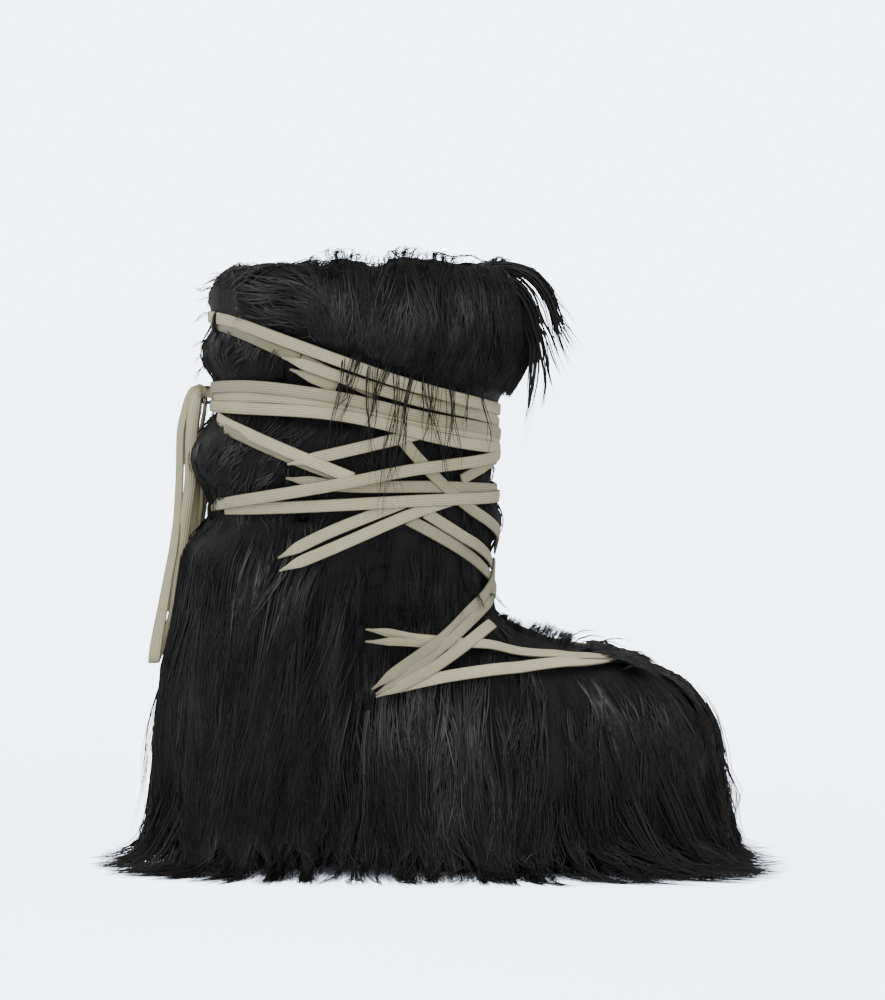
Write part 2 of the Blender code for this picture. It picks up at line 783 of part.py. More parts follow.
def sighted(tree, x, z):
    """Where the line from the eye through a place on the middle plane meets the fur."""
    aim = Vector((x * MM, 0, z * MM)) - EYE
    hit = tree.ray_cast(EYE, aim.normalized())[0]
    return hit or tree.find_nearest(Vector((x * MM, -4 * MM, z * MM)))[0]


def middle_point(tree, side, height):
    """Where a run crosses the middle plane at the rear, front or toe."""
    if side == "toe":
        return tree.ray_cast(Vector((TOE_LOOP_X, 0, 1)), Vector((0, 0, -1)))[0]
    start = Vector((-1 if side == "rear" else 1, 0, height))
    return tree.ray_cast(start, Vector((-start.x, 0, 0)))[0]


def mirrored(points):
    return [Vector((point.x, -point.y, point.z)) for point in reversed(points)]


def curve_through(points, closed, step):
    """Points evenly spaced along a Catmull-Rom curve."""
    count = len(points)
    fine = []
    spans = count if closed else count - 1
    for span in range(spans):
        near = [points[(span + shift) % count] if closed else points[min(max(span + shift, 0), count - 1)]
                for shift in (-1, 0, 1, 2)]
        for part in range(12):
            t = part / 12
            fine.append(0.5 * (2 * near[1] + t * (near[2] - near[0])
                        + t * t * (2 * near[0] - 5 * near[1] + 4 * near[2] - near[3])
                        + t ** 3 * (3 * near[1] - near[0] - 3 * near[2] + near[3])))
    fine.append(points[0] if closed else points[-1])
    run = [0.0]
    for near, far in zip(fine, fine[1:]):
        run.append(run[-1] + (far - near).length)
    pieces = max(round(run[-1] / step), 2)
    even = []
    index = 0
    for piece in range(pieces if closed else pieces + 1):
        target = run[-1] * piece / pieces
        while index < len(run) - 2 and run[index + 1] < target:
            index += 1
        part = (target - run[index]) / max(run[index + 1] - run[index], 1e-9)
        even.append(fine[index] + part * (fine[index + 1] - fine[index]))
    return even


def strip_points(path, normals, closed, width, thickness):
    """Four corners at each point of a path, flat against its normals."""
    count = len(path)
    corners = []
    for index, point in enumerate(path):
        ahead = path[(index + 1) % count] if closed else path[min(index + 1, count - 1)]
        behind = path[index - 1] if closed else path[max(index - 1, 0)]
        along = (ahead - behind).normalized()
        normal = normals[index]
        side = along.cross(normal).normalized() * width / 2
        up = side.cross(along).normalized() * thickness
        corners += [point - side, point + side, point + side + up, point - side + up]
    return corners


def strip(name, path, normals, closed, skin, width=LACE_WIDTH, thickness=LACE_THICKNESS):
    points = strip_points(path, normals, closed, width, thickness)
    count = len(path)
    faces = ring_faces(count, 4, True)
    if closed:
        last = 4 * (count - 1)
        faces += [(last + side, last + (side + 1) % 4, (side + 1) % 4, side) for side in range(4)]
    else:
        faces += [(0, 1, 2, 3), tuple(4 * (count - 1) + side for side in range(4))]
    return add_mesh(name, points, faces, skin)


def height_over(tree, spot, normal):
    """How far a tree's faces stand off a spot along a normal, or None where there are none."""
    high = 25 * MM
    hit = tree.ray_cast(spot + normal * high, -normal, 2 * high)
    return None if hit[0] is None else high - hit[3]


def laid(tree, hides, path, closed, lift):
    """A path lifted so that the strip's whole width clears the fur, and the normals it lies on."""
    count = len(path)
    normals = []
    for point in path:
        spot, face = hides.find_nearest(point)[:2]
        normal = (point - spot).normalized()
        normals.append(face if normal.dot(face) < 0.5 else (normal + face).normalized())
    sides = []
    for index, point in enumerate(path):
        ahead = path[(index + 1) % count] if closed else path[min(index + 1, count - 1)]
        behind = path[index - 1] if closed else path[max(index - 1, 0)]
        sides.append((ahead - behind).normalized().cross(normals[index]).normalized() * LACE_WIDTH / 2)
    lifts = [0.0] * count
    spans = [(index, (index + 1) % count) for index in range(count if closed else count - 1)]
    for _ in range(3):
        for near, far in spans:
            ends = [path[index] + normals[index] * lifts[index] for index in (near, far)]
            short = 0.0
            for step in range(9):
                part = step / 8
                normal = normals[near].lerp(normals[far], part).normalized()
                for across_share in (-1, -0.5, 0, 0.5, 1):
                    spot = ends[0].lerp(ends[1], part) + sides[near].lerp(sides[far], part) * across_share
                    height = height_over(tree, spot, normal)
                    short = max(short, (height or 0.0) + LACE_CLEAR)
            if short > LACE_CLEAR:
                lifts[near] += short - LACE_CLEAR
                lifts[far] += short - LACE_CLEAR
    return [point + normal * (rise + lift) for point, normal, rise in zip(path, normals, lifts)], normals


def lace_wrap(tree, hides):
    """All the runs of the lace round the boot, joined where they cross."""
    strips = collection("lace_strips", hidden=True)
    made = []
    for run in RUNS:
        near = [sighted(tree, x, z) for x, z in run.places]
        start, end = run.start != "loop", run.end != "loop"
        if start:
            near.insert(0, middle_point(tree, run.start, near[0].z))
        if end:
            near.append(middle_point(tree, run.end, near[-1].z))
        if start and end:
            paths = [(near + mirrored(near[1:-1]), True)]
        elif end:
            paths = [(near + mirrored(near[:-1]), False)]
        elif start:
            paths = [(mirrored(near[1:]) + near, False)]
        else:
            paths = [(near, False), (list(reversed(mirrored(near))), False)]
        for points, closed in paths:
            path = curve_through(points, closed, LACE_STEP)
            lifted, normals = laid(tree, hides, path, closed, LACE_CLEAR + run.layer * LAYER)
            made.append(strip(f"run_{len(made) + 1}", lifted, normals, closed, LACE))
    for piece in made[1:]:
        BOOT.objects.unlink(piece)
        strips.objects.link(piece)
        piece.hide_render = True
        piece.display_type = "WIRE"
    wrap = made[0]
    wrap.name = "lace_wrap"
    join = wrap.modifiers.new("runs", "BOOLEAN")
    join.operation = "UNION"
    join.solver = "MANIFOLD"
    join.operand_type = "COLLECTION"
    join.collection = strips
    bpy.context.view_layer.update()
    joined = bpy.data.meshes.new_from_object(wrap.evaluated_get(bpy.context.evaluated_depsgraph_get()))
    wrap.modifiers.remove(join)
    drop_crumbs(joined)
    wrap.data = joined
    return wrap


def drop_crumbs(mesh):
    """Keep the largest of a mesh's bodies: strips that graze each other leave crumbs of a few faces."""
    shape = bmesh.new()
    shape.from_mesh(mesh)
    left = set(shape.faces)
    bodies = []
    while left:
        body = [left.pop()]
        for face in body:
            for edge in face.edges:
                beside = [other for other in edge.link_faces if other in left]
                left.difference_update(beside)
                body += beside
        bodies.append(body)
    bodies.sort(key=len)
    crumbs = [face for body in bodies[:-1] if len(body) <= CRUMB_FACES for face in body]
    bmesh.ops.delete(shape, geom=crumbs, context="FACES")
    bmesh.ops.dissolve_limit(shape, angle_limit=math.radians(FLAT_DEGREES), verts=shape.verts,
                             edges=shape.edges)
    bmesh.ops.triangulate(shape, faces=shape.faces)
    shape.to_mesh(mesh)
    shape.free()


# Webbing loops: short arches over the lace, on the fur. Places are in mm, as for the lace.
Loop = namedtuple("Loop", "name x z")
LOOPS = (
    Loop("loop_rear_top", -122, 314),
    Loop("loop_rear_low", -124, 205),
    Loop("loop_side_top", -86, 294),
    Loop("loop_side_middle", -87, 231),
    Loop("loop_side_low", -91, 174),
    Loop("loop_ankle", -43, 133),
    Loop("loop_vamp", -40, 98),
)
WEBBING_WIDTH = 7 * MM
WEBBING_THICKNESS = 1.3 * MM
WEBBING_CLEAR = 2.3 * MM
ARCH = (-13, -7.5, 0, 7.5, 13)     # stations along a loop, mm: its feet, its bends and its crown


def arch(name, centre, normal, along, fur, lace):
    """A bent band with its feet on the fur and its crown clear of the lace."""
    side = along.cross(normal).normalized() * WEBBING_WIDTH / 2
    crown = 0.0
    for run in ARCH[1:-1] + (-4, 4):
        for part in (-1, 0, 1):
            spot = centre + along * (run * MM) + side * part
            heights = [height_over(tree, spot, normal) for tree in (fur, lace)]
            crown = max([crown] + [height for height in heights if height is not None])
    points = []
    for run in ARCH:
        spot = centre + along * (run * MM)
        rise = crown
        if run in (ARCH[0], ARCH[-1]):
            heights = [height_over(tree, spot + side * part + along * shift * MM, normal)
                       for part in (-1, 0, 1) for shift in (-2, 0, 2) for tree in (fur, lace)]
            rise = max(height for height in heights if height is not None)
        spot += normal * (rise + WEBBING_CLEAR)
        points += [spot - side, spot + side]
    faces = [(2 * row, 2 * row + 1, 2 * row + 3, 2 * row + 2) for row in range(len(ARCH) - 1)]
    made = add_mesh(name, points, faces, WEBBING)
    wall = made.modifiers.new("wall", "SOLIDIFY")
    wall.thickness = WEBBING_THICKNESS
    wall.offset = 0
    return made


def loops(fur, hides, wrap):
    bpy.context.view_layer.update()
    lace = BVHTree.FromPolygons([vertex.co.copy() for vertex in wrap.data.vertices],
                                [list(face.vertices) for face in wrap.data.polygons])
    for loop in LOOPS:
        spot = sighted(fur, loop.x, loop.z)
        normal = hides.find_nearest(spot)[1]
        along = (Vector((0, 0, 1)) - normal * normal.z).normalized()
        flip = Vector((1, -1, 1))
        arch(f"{loop.name}_near", spot, normal, along, fur, lace)
        arch(f"{loop.name}_far", spot * flip, normal * flip, along * flip, fur, lace)
    toe = middle_point(fur, "toe", 0)
    normal = hides.find_nearest(toe)[1]
    along = (Vector((1, 0, 0)) - normal * normal.x).normalized()
    arch("loop_toe", toe, normal, along, fur, lace)


# Bow at the back of the shaft: a knot, two loops and two ends of the same lace, in mm
KNOT_SIZE = (9 * MM, 17 * MM, 13 * MM)
KNOT_HEIGHT = 271 * MM
KNOT_X = -142.5 * MM
LOOP_PLACES = (
    (-146, -9, 270), (-151, -9.4, 256), (-154, -10.5, 223), (-156, -11.5, 185), (-159, -12, 160),
    (-164, -12.5, 139), (-168.5, -13, 124), (-169, -13.5, 118.5), (-165, -14, 116), (-162, -14.5, 120),
    (-160, -14.5, 141), (-155, -14.5, 156), (-151, -14.5, 179), (-149, -14.5, 204), (-148, -14, 235),
    (-147, -13, 254), (-145, -11.2, 268),
)
END_PLACES = (
    (-146, -2, 262), (-149, -3, 250), (-149, -4, 232), (-148, -5, 210), (-151, -5.5, 185), (-158, -6, 158),
    (-165, -6, 136),
)
BOW_STEP = 13 * MM


def bow():
    bpy.ops.mesh.primitive_cube_add(size=1, location=(0, 0, 0))
    knot = bpy.context.active_object
    knot.name = "lace_knot"
    knot.data.name = "lace_knot"
    for point in knot.data.vertices:
        point.co = Vector([value * size for value, size in zip(point.co, KNOT_SIZE)])
    knot.location = (KNOT_X, 0, KNOT_HEIGHT)
    knot.data.materials.append(LACE)
    for home in list(knot.users_collection):
        home.objects.unlink(knot)
    BOOT.objects.link(knot)
    soft = knot.modifiers.new("round", "BEVEL")
    soft.width = 3 * MM
    soft.segments = 2
    for side, sign in (("near", 1), ("far", -1)):
        for name, places in (("loop", LOOP_PLACES), ("end", END_PLACES)):
            route = [Vector((x, sign * y, z)) * MM for x, y, z in places]
            path = curve_through(route, False, BOW_STEP)
            normals = [Vector((0, -sign, 0))] * len(path)
            strip(f"lace_{name}_{side}", path, normals, False, LACE, width=7 * MM)


outsole()
upper()
insole()
form = hide_form()
collar = fur_collar()
for fur in (collar, fur_shaft(), fur_foot(), fur_heel()):
    cut_to_hide(fur, form)
fur_faces, hide_faces = fur_tree(), hide_tree()
add_locks(collar)
loops(fur_faces, hide_faces, lace_wrap(fur_faces, hide_faces))
bow()
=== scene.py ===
import json
import math

import bmesh
import bpy
import numpy as np
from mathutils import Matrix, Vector, noise as field
from mathutils.bvhtree import BVHTree

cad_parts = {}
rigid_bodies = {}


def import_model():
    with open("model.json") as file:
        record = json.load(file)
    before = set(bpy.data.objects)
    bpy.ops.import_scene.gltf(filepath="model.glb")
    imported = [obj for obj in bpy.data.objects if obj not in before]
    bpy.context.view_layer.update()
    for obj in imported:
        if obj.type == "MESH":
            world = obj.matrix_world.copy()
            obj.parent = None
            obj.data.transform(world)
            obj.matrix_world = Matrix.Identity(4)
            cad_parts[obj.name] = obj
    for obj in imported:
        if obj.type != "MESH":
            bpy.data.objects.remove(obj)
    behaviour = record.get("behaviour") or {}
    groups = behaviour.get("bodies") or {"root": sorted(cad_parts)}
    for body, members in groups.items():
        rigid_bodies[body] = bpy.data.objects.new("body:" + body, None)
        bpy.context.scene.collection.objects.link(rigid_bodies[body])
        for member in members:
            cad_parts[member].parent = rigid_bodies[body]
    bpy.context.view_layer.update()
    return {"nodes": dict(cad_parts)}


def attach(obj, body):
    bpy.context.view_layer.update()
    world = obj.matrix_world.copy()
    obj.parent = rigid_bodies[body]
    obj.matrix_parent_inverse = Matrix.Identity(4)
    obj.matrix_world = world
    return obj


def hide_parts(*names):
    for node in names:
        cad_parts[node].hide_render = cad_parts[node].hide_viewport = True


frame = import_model()
nodes = frame["nodes"]
mm = 0.001      # routes and sizes below are in mm, meshes in metres


# Small helpers

def smooth(value, low=0.0, high=1.0):
    share = min(max((value - low) / (high - low), 0.0), 1.0)
    return share * share * (3 - 2 * share)


def addObject(name, mesh, finish=None):
    made = bpy.data.objects.new(name, mesh)
    bpy.context.scene.collection.objects.link(made)
    if finish:
        mesh.materials.clear()
        mesh.materials.append(finish)
    return made


def meshFrom(name, points, faces):
    mesh = bpy.data.meshes.new(name)
    mesh.from_pydata([tuple(p) for p in points], [], faces)
    mesh.shade_smooth()
    return mesh


def treeOf(names):
    # the faces of these nodes in mm, for laying things on them
    points, faces = [], []
    for name in names:
        mesh = nodes[name].data
        start = len(points)
        points += [v.co / mm for v in mesh.vertices]
        faces += [[start + i for i in f.vertices] for f in mesh.polygons]
    return BVHTree.FromPolygons(points, faces)


def curveThrough(points, step):
    # evenly spaced points on a Catmull-Rom curve
    fine = []
    last = len(points) - 1
    for span in range(last):
        a, b, c, d = (points[min(max(span + k, 0), last)] for k in (-1, 0, 1, 2))
        for part in range(16):
            t = part / 16
            fine.append(0.5 * (2 * b + t * (c - a) + t * t * (2 * a - 5 * b + 4 * c - d)
                        + t ** 3 * (3 * b - a - 3 * c + d)))
    fine.append(points[-1])
    run = [0.0]
    for a, b in zip(fine, fine[1:]):
        run.append(run[-1] + (b - a).length)
    count = max(round(run[-1] / step), 3)
    even, index = [], 0
    for piece in range(count + 1):
        target = run[-1] * piece / count
        while index < len(run) - 2 and run[index + 1] < target:
            index += 1
        part = (target - run[index]) / max(run[index + 1] - run[index], 1e-9)
        even.append(fine[index].lerp(fine[index + 1], min(part, 1.0)))
    return even


def unit(values):
    # each row of an array brought to length 1
    return values / np.maximum(np.linalg.norm(values, axis=-1, keepdims=True), 1e-9)


def readOff(table, place):
    # the second column of a table at a place in its first
    return np.interp(place, [row[0] for row in table], [row[1] for row in table])


def vertexRows(mesh, kind):
    values = np.empty(len(mesh.vertices) * 3)
    mesh.vertices.foreach_get(kind, values)
    return values.reshape(-1, 3)


# Camera, paper and soft light

studio = {
    "eye": (3.0, -2600.0, 330.0),
    "aim": (3.2, 0.0, 211.0),
    "lens": 161.4,
    "paper": (5.35, 6.0, 7.0),      # how bright the paper is to the camera
    "paperShare": 1.405,            # light that reaches the paper, over which its colour is set
    "fill": 0.50,                   # light from everywhere
    "boxes": (                      # where from, cosine at the rim and at the core, strength
        ("overhead", (-0.10, -0.40, 0.90), 0.78, 0.93, 3.6),
        ("front", (0.30, -0.88, 0.38), 0.88, 0.97, 1.8),
        ("back", (-0.60, 0.65, 0.45), 0.86, 0.96, 2.0),
    ),
}


def makeCamera():
    lens = bpy.data.cameras.new("camera")
    lens.lens = studio["lens"]
    lens.clip_start, lens.clip_end = 0.05, 100
    camera = bpy.data.objects.new("camera", lens)
    camera.location = Vector(studio["eye"]) * mm
    camera.rotation_mode = "QUATERNION"
    look = Vector(studio["aim"]) - Vector(studio["eye"])
    camera.rotation_quaternion = look.to_track_quat("-Z", "Y")
    bpy.context.scene.collection.objects.link(camera)
    bpy.context.scene.camera = camera


def makeLight():
    world = bpy.data.worlds.new("studio")
    world.use_nodes = True
    bpy.context.scene.world = world
    tree = world.node_tree
    tree.nodes.clear()
    put, link = tree.nodes.new, tree.links.new
    way = put("ShaderNodeTexCoord")
    total = put("ShaderNodeValue")
    total.outputs[0].default_value = studio["fill"]
    total = total.outputs[0]
    for name, aim, rim, core, strength in studio["boxes"]:
        dot = put("ShaderNodeVectorMath")
        dot.operation = "DOT_PRODUCT"
        dot.label = name
        dot.inputs[1].default_value = Vector(aim).normalized()
        link(way.outputs["Generated"], dot.inputs[0])
        soft = put("ShaderNodeMapRange")
        soft.interpolation_type = "SMOOTHSTEP"
        soft.inputs["From Min"].default_value = rim
        soft.inputs["From Max"].default_value = core
        soft.inputs["To Max"].default_value = strength
        link(dot.outputs["Value"], soft.inputs["Value"])
        both = put("ShaderNodeMath")
        link(total, both.inputs[0])
        link(soft.outputs["Result"], both.inputs[1])
        total = both.outputs[0]
    lit = put("ShaderNodeBackground")
    link(total, lit.inputs["Strength"])
    paper = put("ShaderNodeBackground")
    paper.inputs["Color"].default_value = (*(c / studio["paper"][1] for c in studio["paper"]), 1)
    paper.inputs["Strength"].default_value = studio["paper"][1]
    path = put("ShaderNodeLightPath")
    either = put("ShaderNodeMixShader")
    out = put("ShaderNodeOutputWorld")
    link(path.outputs["Is Camera Ray"], either.inputs["Fac"])
    link(lit.outputs[0], either.inputs[1])
    link(paper.outputs[0], either.inputs[2])
    link(either.outputs[0], out.inputs["Surface"])


def makeFloor():
    finish = bpy.data.materials.new("paper")
    finish.use_nodes = True
    tree = finish.node_tree
    tree.nodes.clear()
    put, link = tree.nodes.new, tree.links.new
    white = put("ShaderNodeBsdfDiffuse")
    out = put("ShaderNodeOutputMaterial")
    path = put("ShaderNodeLightPath")
    colour = put("ShaderNodeMix")
    colour.data_type = "RGBA"
    colour.clamp_result = False
    colour.inputs["A"].default_value = (0.8, 0.8, 0.8, 1)
    share = studio["paperShare"]
    colour.inputs["B"].default_value = (*(c / share for c in studio["paper"]), 1)
    link(path.outputs["Is Camera Ray"], colour.inputs["Factor"])
    link(colour.outputs["Result"], white.inputs["Color"])
    link(white.outputs[0], out.inputs["Surface"])
    half = 40.0
    corners = [(-half, -half, 0), (half, -half, 0), (half, half, 0), (-half, half, 0)]
    floor = addObject("floor", meshFrom("floor", corners, [(0, 1, 2, 3)]), finish)


makeCamera()
makeLight()
makeFloor()
print("stage: camera, light and floor are made")


# Finishes

def newFinish(name):
    finish = bpy.data.materials.new(name)
    finish.use_nodes = True
    tree = finish.node_tree
    return finish, tree, tree.nodes["Principled BSDF"]


def mixColour(tree, factor, a, b):
    node = tree.nodes.new("ShaderNodeMix")
    node.data_type = "RGBA"
    for socket, value in (("A", a), ("B", b)):
        if isinstance(value, tuple):
            node.inputs[socket].default_value = (*value, 1)
        else:
            tree.links.new(value, node.inputs[socket])
    tree.links.new(factor, node.inputs["Factor"])
    return node.outputs["Result"]


def calc(tree, operation, a, b=None):
    node = tree.nodes.new("ShaderNodeMath")
    node.operation = operation
    for index, value in enumerate((a, b)):
        if value is None:
            continue
        if isinstance(value, (int, float)):
            node.inputs[index].default_value = value
        else:
            tree.links.new(value, node.inputs[index])
    return node.outputs[0]


def ranged(tree, value, low, high, toLow=0.0, toHigh=1.0):
    node = tree.nodes.new("ShaderNodeMapRange")
    node.inputs["From Min"].default_value = low
    node.inputs["From Max"].default_value = high
    node.inputs["To Min"].default_value = toLow
    node.inputs["To Max"].default_value = toHigh
    tree.links.new(value, node.inputs["Value"])
    return node.outputs["Result"]


def noise(tree, vector, scale, detail=3.0, rough=0.55):
    node = tree.nodes.new("ShaderNodeTexNoise")
    node.inputs["Scale"].default_value = scale
    node.inputs["Detail"].default_value = detail
    node.inputs["Roughness"].default_value = rough
    tree.links.new(vector, node.inputs["Vector"])
    return node.outputs["Fac"]


def surface(tree, shader, colour, height, relief):
    # the shader's colour, and its bump from a height of so many metres
    node = tree.nodes.new("ShaderNodeBump")
    node.inputs["Distance"].default_value = relief
    node.inputs["Strength"].default_value = 1.0
    tree.links.new(height, node.inputs["Height"])
    tree.links.new(colour, shader.inputs["Base Color"])
    tree.links.new(node.outputs["Normal"], shader.inputs["Normal"])


def attribute(tree, name):
    node = tree.nodes.new("ShaderNodeAttribute")
    node.attribute_name = name
    return node.outputs["Fac"]


def objectPlace(tree, scale=(1, 1, 1)):
    place = tree.nodes.new("ShaderNodeTexCoord")
    turn = tree.nodes.new("ShaderNodeMapping")
    turn.inputs["Scale"].default_value = scale
    tree.links.new(place.outputs["Object"], turn.inputs["Vector"])
    return turn.outputs["Vector"]


hairLook = {
    "dark": (0.0024, 0.0023, 0.0025),
    "light": (0.1050, 0.1010, 0.1030),
    "tip": (0.0150, 0.0125, 0.0115),
    "roughness": (0.32, 0.48),
}


def hairFinish():
    finish, tree, shader = newFinish("black_hair")
    # tone holds each strand's random tone together with painted highlights and painted shade towards the
    # root
    tone = attribute(tree, "tone")
    along = attribute(tree, "along")
    body = mixColour(tree, tone, hairLook["dark"], hairLook["light"])
    tip = calc(tree, "MULTIPLY", ranged(tree, along, 0.75, 1.0), 0.5)
    colour = mixColour(tree, tip, body, hairLook["tip"])
    tree.links.new(colour, shader.inputs["Base Color"])
    low, high = hairLook["roughness"]
    tree.links.new(ranged(tree, tone, 0, 1, high, low), shader.inputs["Roughness"])
    shader.inputs["Specular IOR Level"].default_value = 0.42
    return finish


def underfurFinish():
    finish, tree, shader = newFinish("underfur")
    place = objectPlace(tree, (900, 900, 60))
    streak = noise(tree, place, 1.0, 4.0, 0.6)
    colour = mixColour(tree, streak, (0.0030, 0.0030, 0.0032), (0.0120, 0.0117, 0.0122))
    surface(tree, shader, colour, streak, 0.0015)
    shader.inputs["Roughness"].default_value = 0.62
    shader.inputs["Specular IOR Level"].default_value = 0.25
    return finish


laceLook = {
    "face": (0.665, 0.620, 0.400),
    # deep: the colour down between the ribs, painted shade in the grooves
    "deep": (0.450, 0.415, 0.265),
    "edge": (0.210, 0.185, 0.118),
    "shaded": (0.085, 0.074, 0.050),
    "ribs": 5,
    "weave": 0.9,           # mm from one cross thread to the next
}


def laceFinish():
    finish, tree, shader = newFinish("khaki_lace")
    across = attribute(tree, "across")
    run = attribute(tree, "run")
    rib = calc(tree, "ABSOLUTE", calc(tree, "SINE", calc(tree, "MULTIPLY", across,
               math.pi * laceLook["ribs"])))
    pick = calc(tree, "MULTIPLY", calc(tree, "DIVIDE", run, laceLook["weave"]), math.pi)
    thread = calc(tree, "ABSOLUTE", calc(tree, "SINE", pick))
    height = calc(tree, "ADD", calc(tree, "MULTIPLY", rib, 0.93), calc(tree, "MULTIPLY", thread, 0.07))
    place = objectPlace(tree)
    wear = noise(tree, place, 38.0, 3.0)
    fleck = noise(tree, place, 900.0, 2.0)
    # painted shade: darker down between the ribs, on top of their bump
    face = mixColour(tree, ranged(tree, height, 0.10, 0.70), laceLook["deep"], laceLook["face"])
    face = mixColour(tree, ranged(tree, wear, 0.35, 0.7, 0.0, 0.35), face, (0.42, 0.385, 0.26))
    face = mixColour(tree, ranged(tree, fleck, 0.62, 0.75, 0.0, 0.30), face, (0.24, 0.215, 0.14))
    rim = calc(tree, "ABSOLUTE", calc(tree, "SUBTRACT", across, 0.5))
    face = mixColour(tree, ranged(tree, rim, 0.38, 0.5, 0.0, 0.85), face, laceLook["edge"])
    face = mixColour(tree, attribute(tree, "shade"), face, laceLook["shaded"])
    surface(tree, shader, face, height, 0.00025)
    shader.inputs["Roughness"].default_value = 0.85
    shader.inputs["Specular IOR Level"].default_value = 0.2
    shader.inputs["Sheen Weight"].default_value = 0.2
    shader.inputs["Sheen Roughness"].default_value = 0.5
    return finish


def webbingFinish():
    finish, tree, shader = newFinish("black_webbing")
    weave = noise(tree, objectPlace(tree, (1500, 1500, 400)), 1.0, 2.0)
    colour = mixColour(tree, weave, (0.0015, 0.0015, 0.0017), (0.007, 0.007, 0.008))
    surface(tree, shader, colour, weave, 0.0004)
    shader.inputs["Roughness"].default_value = 0.8
    shader.inputs["Specular IOR Level"].default_value = 0.2
    return finish


def rubberFinish():
    finish, tree, shader = newFinish("black_rubber")
    place = objectPlace(tree)
    grain = noise(tree, place, 1400.0, 2.0)
    dust = noise(tree, place, 45.0, 4.0)
    colour = mixColour(tree, ranged(tree, dust, 0.45, 0.75), (0.010, 0.010, 0.011), (0.030, 0.029, 0.028))
    surface(tree, shader, colour, grain, 0.0002)
    tree.links.new(ranged(tree, dust, 0.3, 0.8, 0.5, 0.75), shader.inputs["Roughness"])
    return finish


def feltFinish(name, dark, light):
    finish, tree, shader = newFinish(name)
    place = objectPlace(tree)
    fuzz = noise(tree, place, 700.0, 5.0, 0.7)
    cloud = noise(tree, place, 30.0, 3.0)
    colour = mixColour(tree, calc(tree, "MULTIPLY", fuzz, cloud), dark, light)
    surface(tree, shader, colour, fuzz, 0.0008)
    shader.inputs["Roughness"].default_value = 0.95
    shader.inputs["Sheen Weight"].default_value = 0.3
    return finish


hair = hairFinish()
underfurSkin = underfurFinish()
lace = laceFinish()
webbing = webbingFinish()
print("stage: finishes are made")


# Lace: one flat woven band. Routes are in mm, heel to toe and up, on the boot's middle plane as the
# camera sights them. layer counts what lies under a run.

laceSize = {
    "thickness": 1.5,
    "clear": 1.8,           # above the solid fur
    "low": 2.2,             # and further above the long hair of the foot
    "layer": 1.1,
    "step": 4.0,
    "rounds": 14,           # how often a run is drawn taut
    "free": 2,              # of these the last ones, which no longer lift it off the fur
    "swell": 0.85,          # how far it follows the bulges of the fur
    "past": 2.5,            # how far past the front edge that may take it
}
furNodes = ("fur_collar", "fur_shaft", "fur_foot", "fur_heel")
furTree = treeOf(furNodes)
hideTree = treeOf(("upper",))
eye = Vector(studio["eye"])

